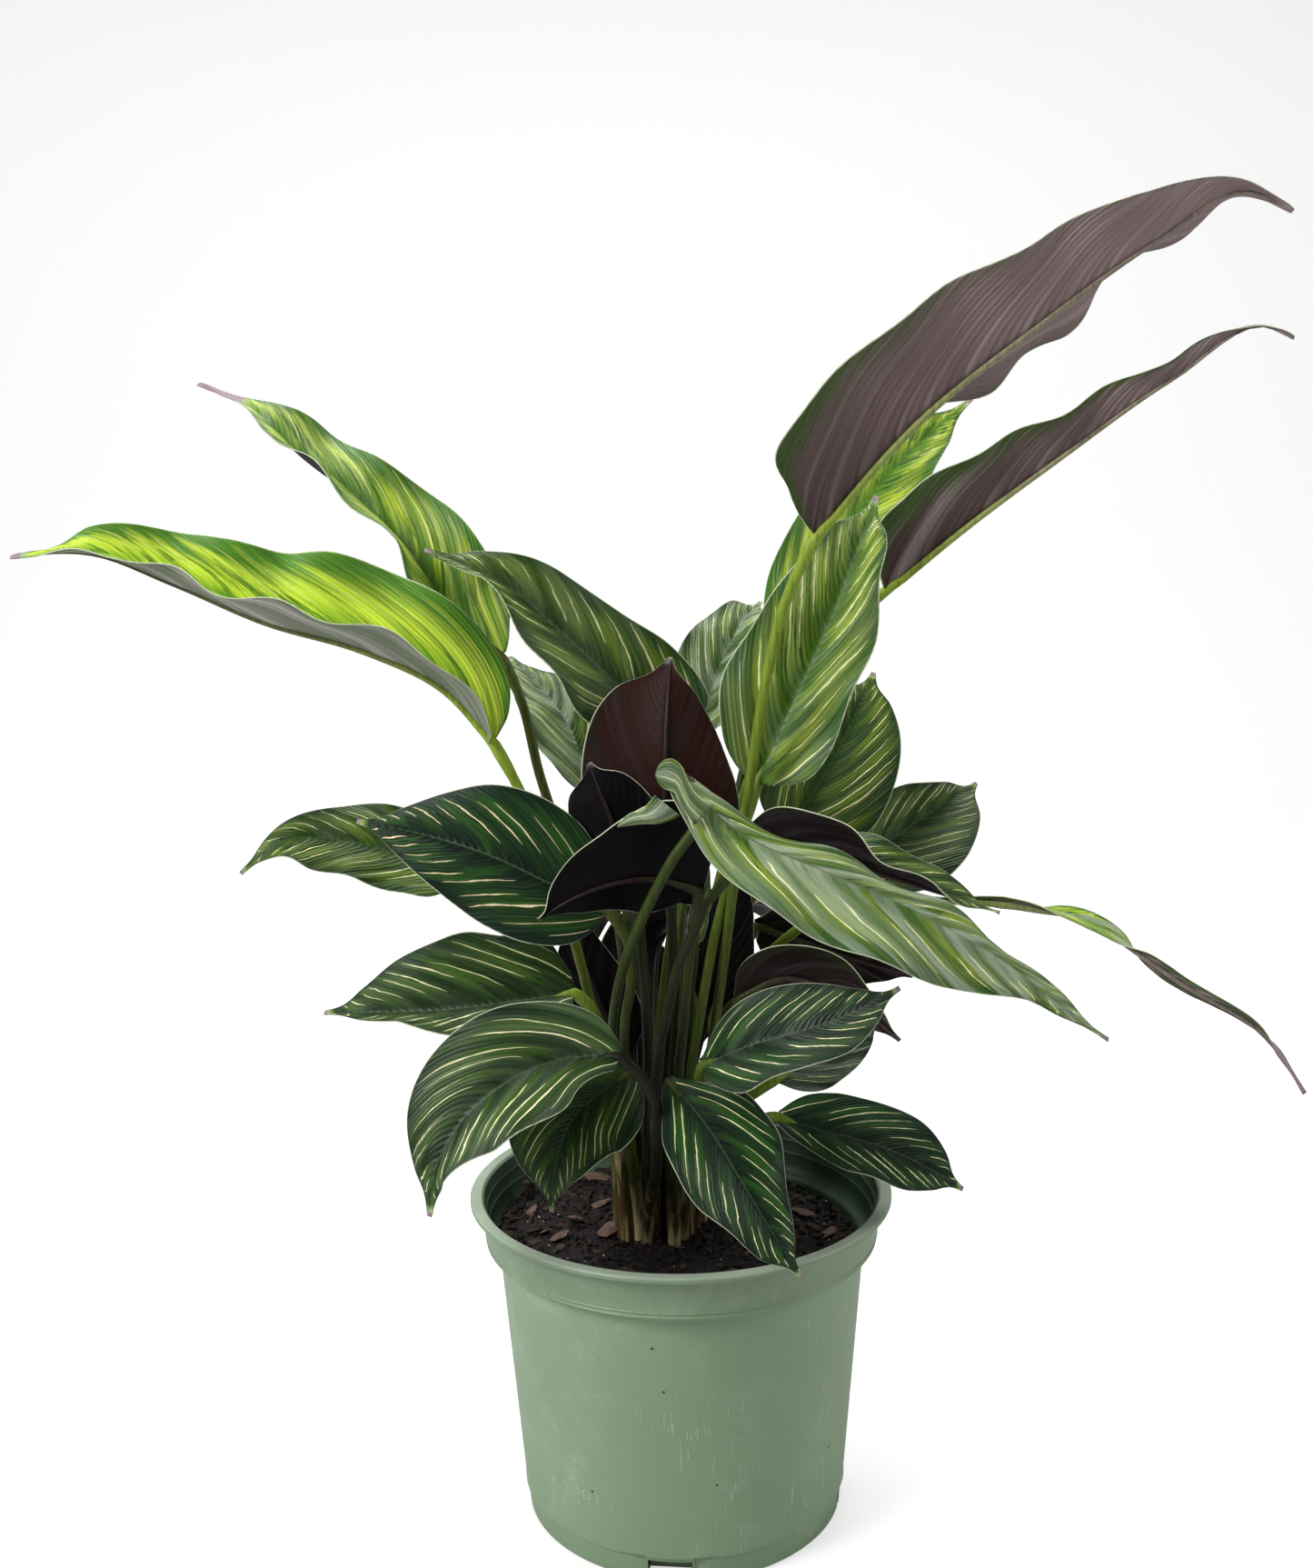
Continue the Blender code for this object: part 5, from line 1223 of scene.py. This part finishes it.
# Bark flakes: larger plates of pine bark on top, 7 to 14 mm long, that split off in layers. They are
# paler and redder than the chips, with the split grain running along each.
flake_bark, tree = new_material("split pine bark")
place = node(tree, "TexCoord").outputs["Object"]
grain_map = node(tree, "Mapping", place, Scale=per_metre(5.56, 1.923, 3.33))
grain = node(tree, "TexNoise", grain_map, Scale=1.0, Detail=6.0, Roughness=0.7)
split_tone = node(tree, "MapRange", grain, From_Min=0.34, From_Max=0.64)
split = node(tree, "MixRGB", split_tone, "#2E211A", "#86695A")
relief = node(tree, "Bump", Height=grain, Strength=0.8, Distance=0.8 * MM)
shader = node(tree, "BsdfPrincipled", Base_Color=split, Roughness=0.8, Normal=relief)
node(tree, "OutputMaterial", shader)
# Where each flake lies, its length and width, how it is turned, and how it tips up
FLAKES = [
    (-34, 42, 14, 9, 10, 12), (-28, -18, 10, 8, 30, -25), (-41, -5, 9, 7, 70, 35), (-47, -17, 8, 5, 10, -20),
    (-53, -11, 7, 4, 120, 30), (-62, 28, 14, 4, 75, 55), (49, 5, 10, 6, 0, 15), (-33, 9, 10, 5, 25, -15),
    (-1, -33, 9, 1.6, 115, 20), (31, -38, 8, 5, 150, 12), (-60, 10, 7, 4, 60, -30), (57, -12, 9, 5, 35, -14),
    (35, 34, 10, 7, 80, 16), (12, 48, 11, 6, 140, -12), (-8, 55, 8, 6, 20, 18), (-16, -52, 8, 5, 160, 14),
]
FLAKE_THICKNESS = 0.26
FLAKE_JAG = 0.45
JAGS_PER_FLAKE = 3.1
bm = bmesh.new()
for x, y, long, wide, turn, tip in FLAKES:
    made = bmesh.ops.create_icosphere(bm, subdivisions=2, radius=0.5)["verts"]
    for vertex in made:
        jag = 1 + FLAKE_JAG * noise.noise(vertex.co * JAGS_PER_FLAKE + Vector((x, y, 0)))
        size = (long * jag, wide * jag, FLAKE_THICKNESS * wide)
        vertex.co = Vector([vertex.co[k] * size[k] for k in range(3)]) * MM
    lie = Matrix.Rotation(math.radians(turn), 3, "Z") @ Matrix.Rotation(math.radians(tip), 3, "Y")
    bmesh.ops.rotate(bm, cent=(0, 0, 0), matrix=lie, verts=made)
    # A flake lies on its lower edge, a little sunk in
    rest = peat_top(x, y) + 0.12 * wide + 0.3 * long * abs(math.sin(math.radians(tip)))
    bmesh.ops.translate(bm, vec=(x * MM, y * MM, rest * MM), verts=made)
flakes = finished("bark_flakes", bm, [flake_bark])
flakes.data.shade_flat()
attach(flakes, "root")
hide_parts("peat")


# Peat crumbs: bits of the same damp peat, 1.4 to 4.2 mm, that crumbled off when the plant was potted
# and lie closer to the stalks than the bark.
scatter("peat_crumbs", soil, count=1500, low=1.4, high=4.2, flat=0.7, rounds=1, seed=23, clear=2.6)


# Perlite: a little white foamed volcanic glass in bits of about a millimetre, mixed into the peat to
# keep it airy. Matt, with cream in its pores.
perlite, tree = new_material("perlite")
foam = node(tree, "TexNoise", node(tree, "TexCoord").outputs["Object"], Scale=per_metre(0.667))
tinted = node(tree, "MixRGB", foam, "#B9B2A2", "#F0ECE0")
shader = node(tree, "BsdfPrincipled", Base_Color=tinted, Roughness=0.8)
node(tree, "OutputMaterial", shader)
scatter("perlite_bits", perlite, count=60, low=0.7, high=1.6, flat=0.8, rounds=1, seed=5, clear=2.6)
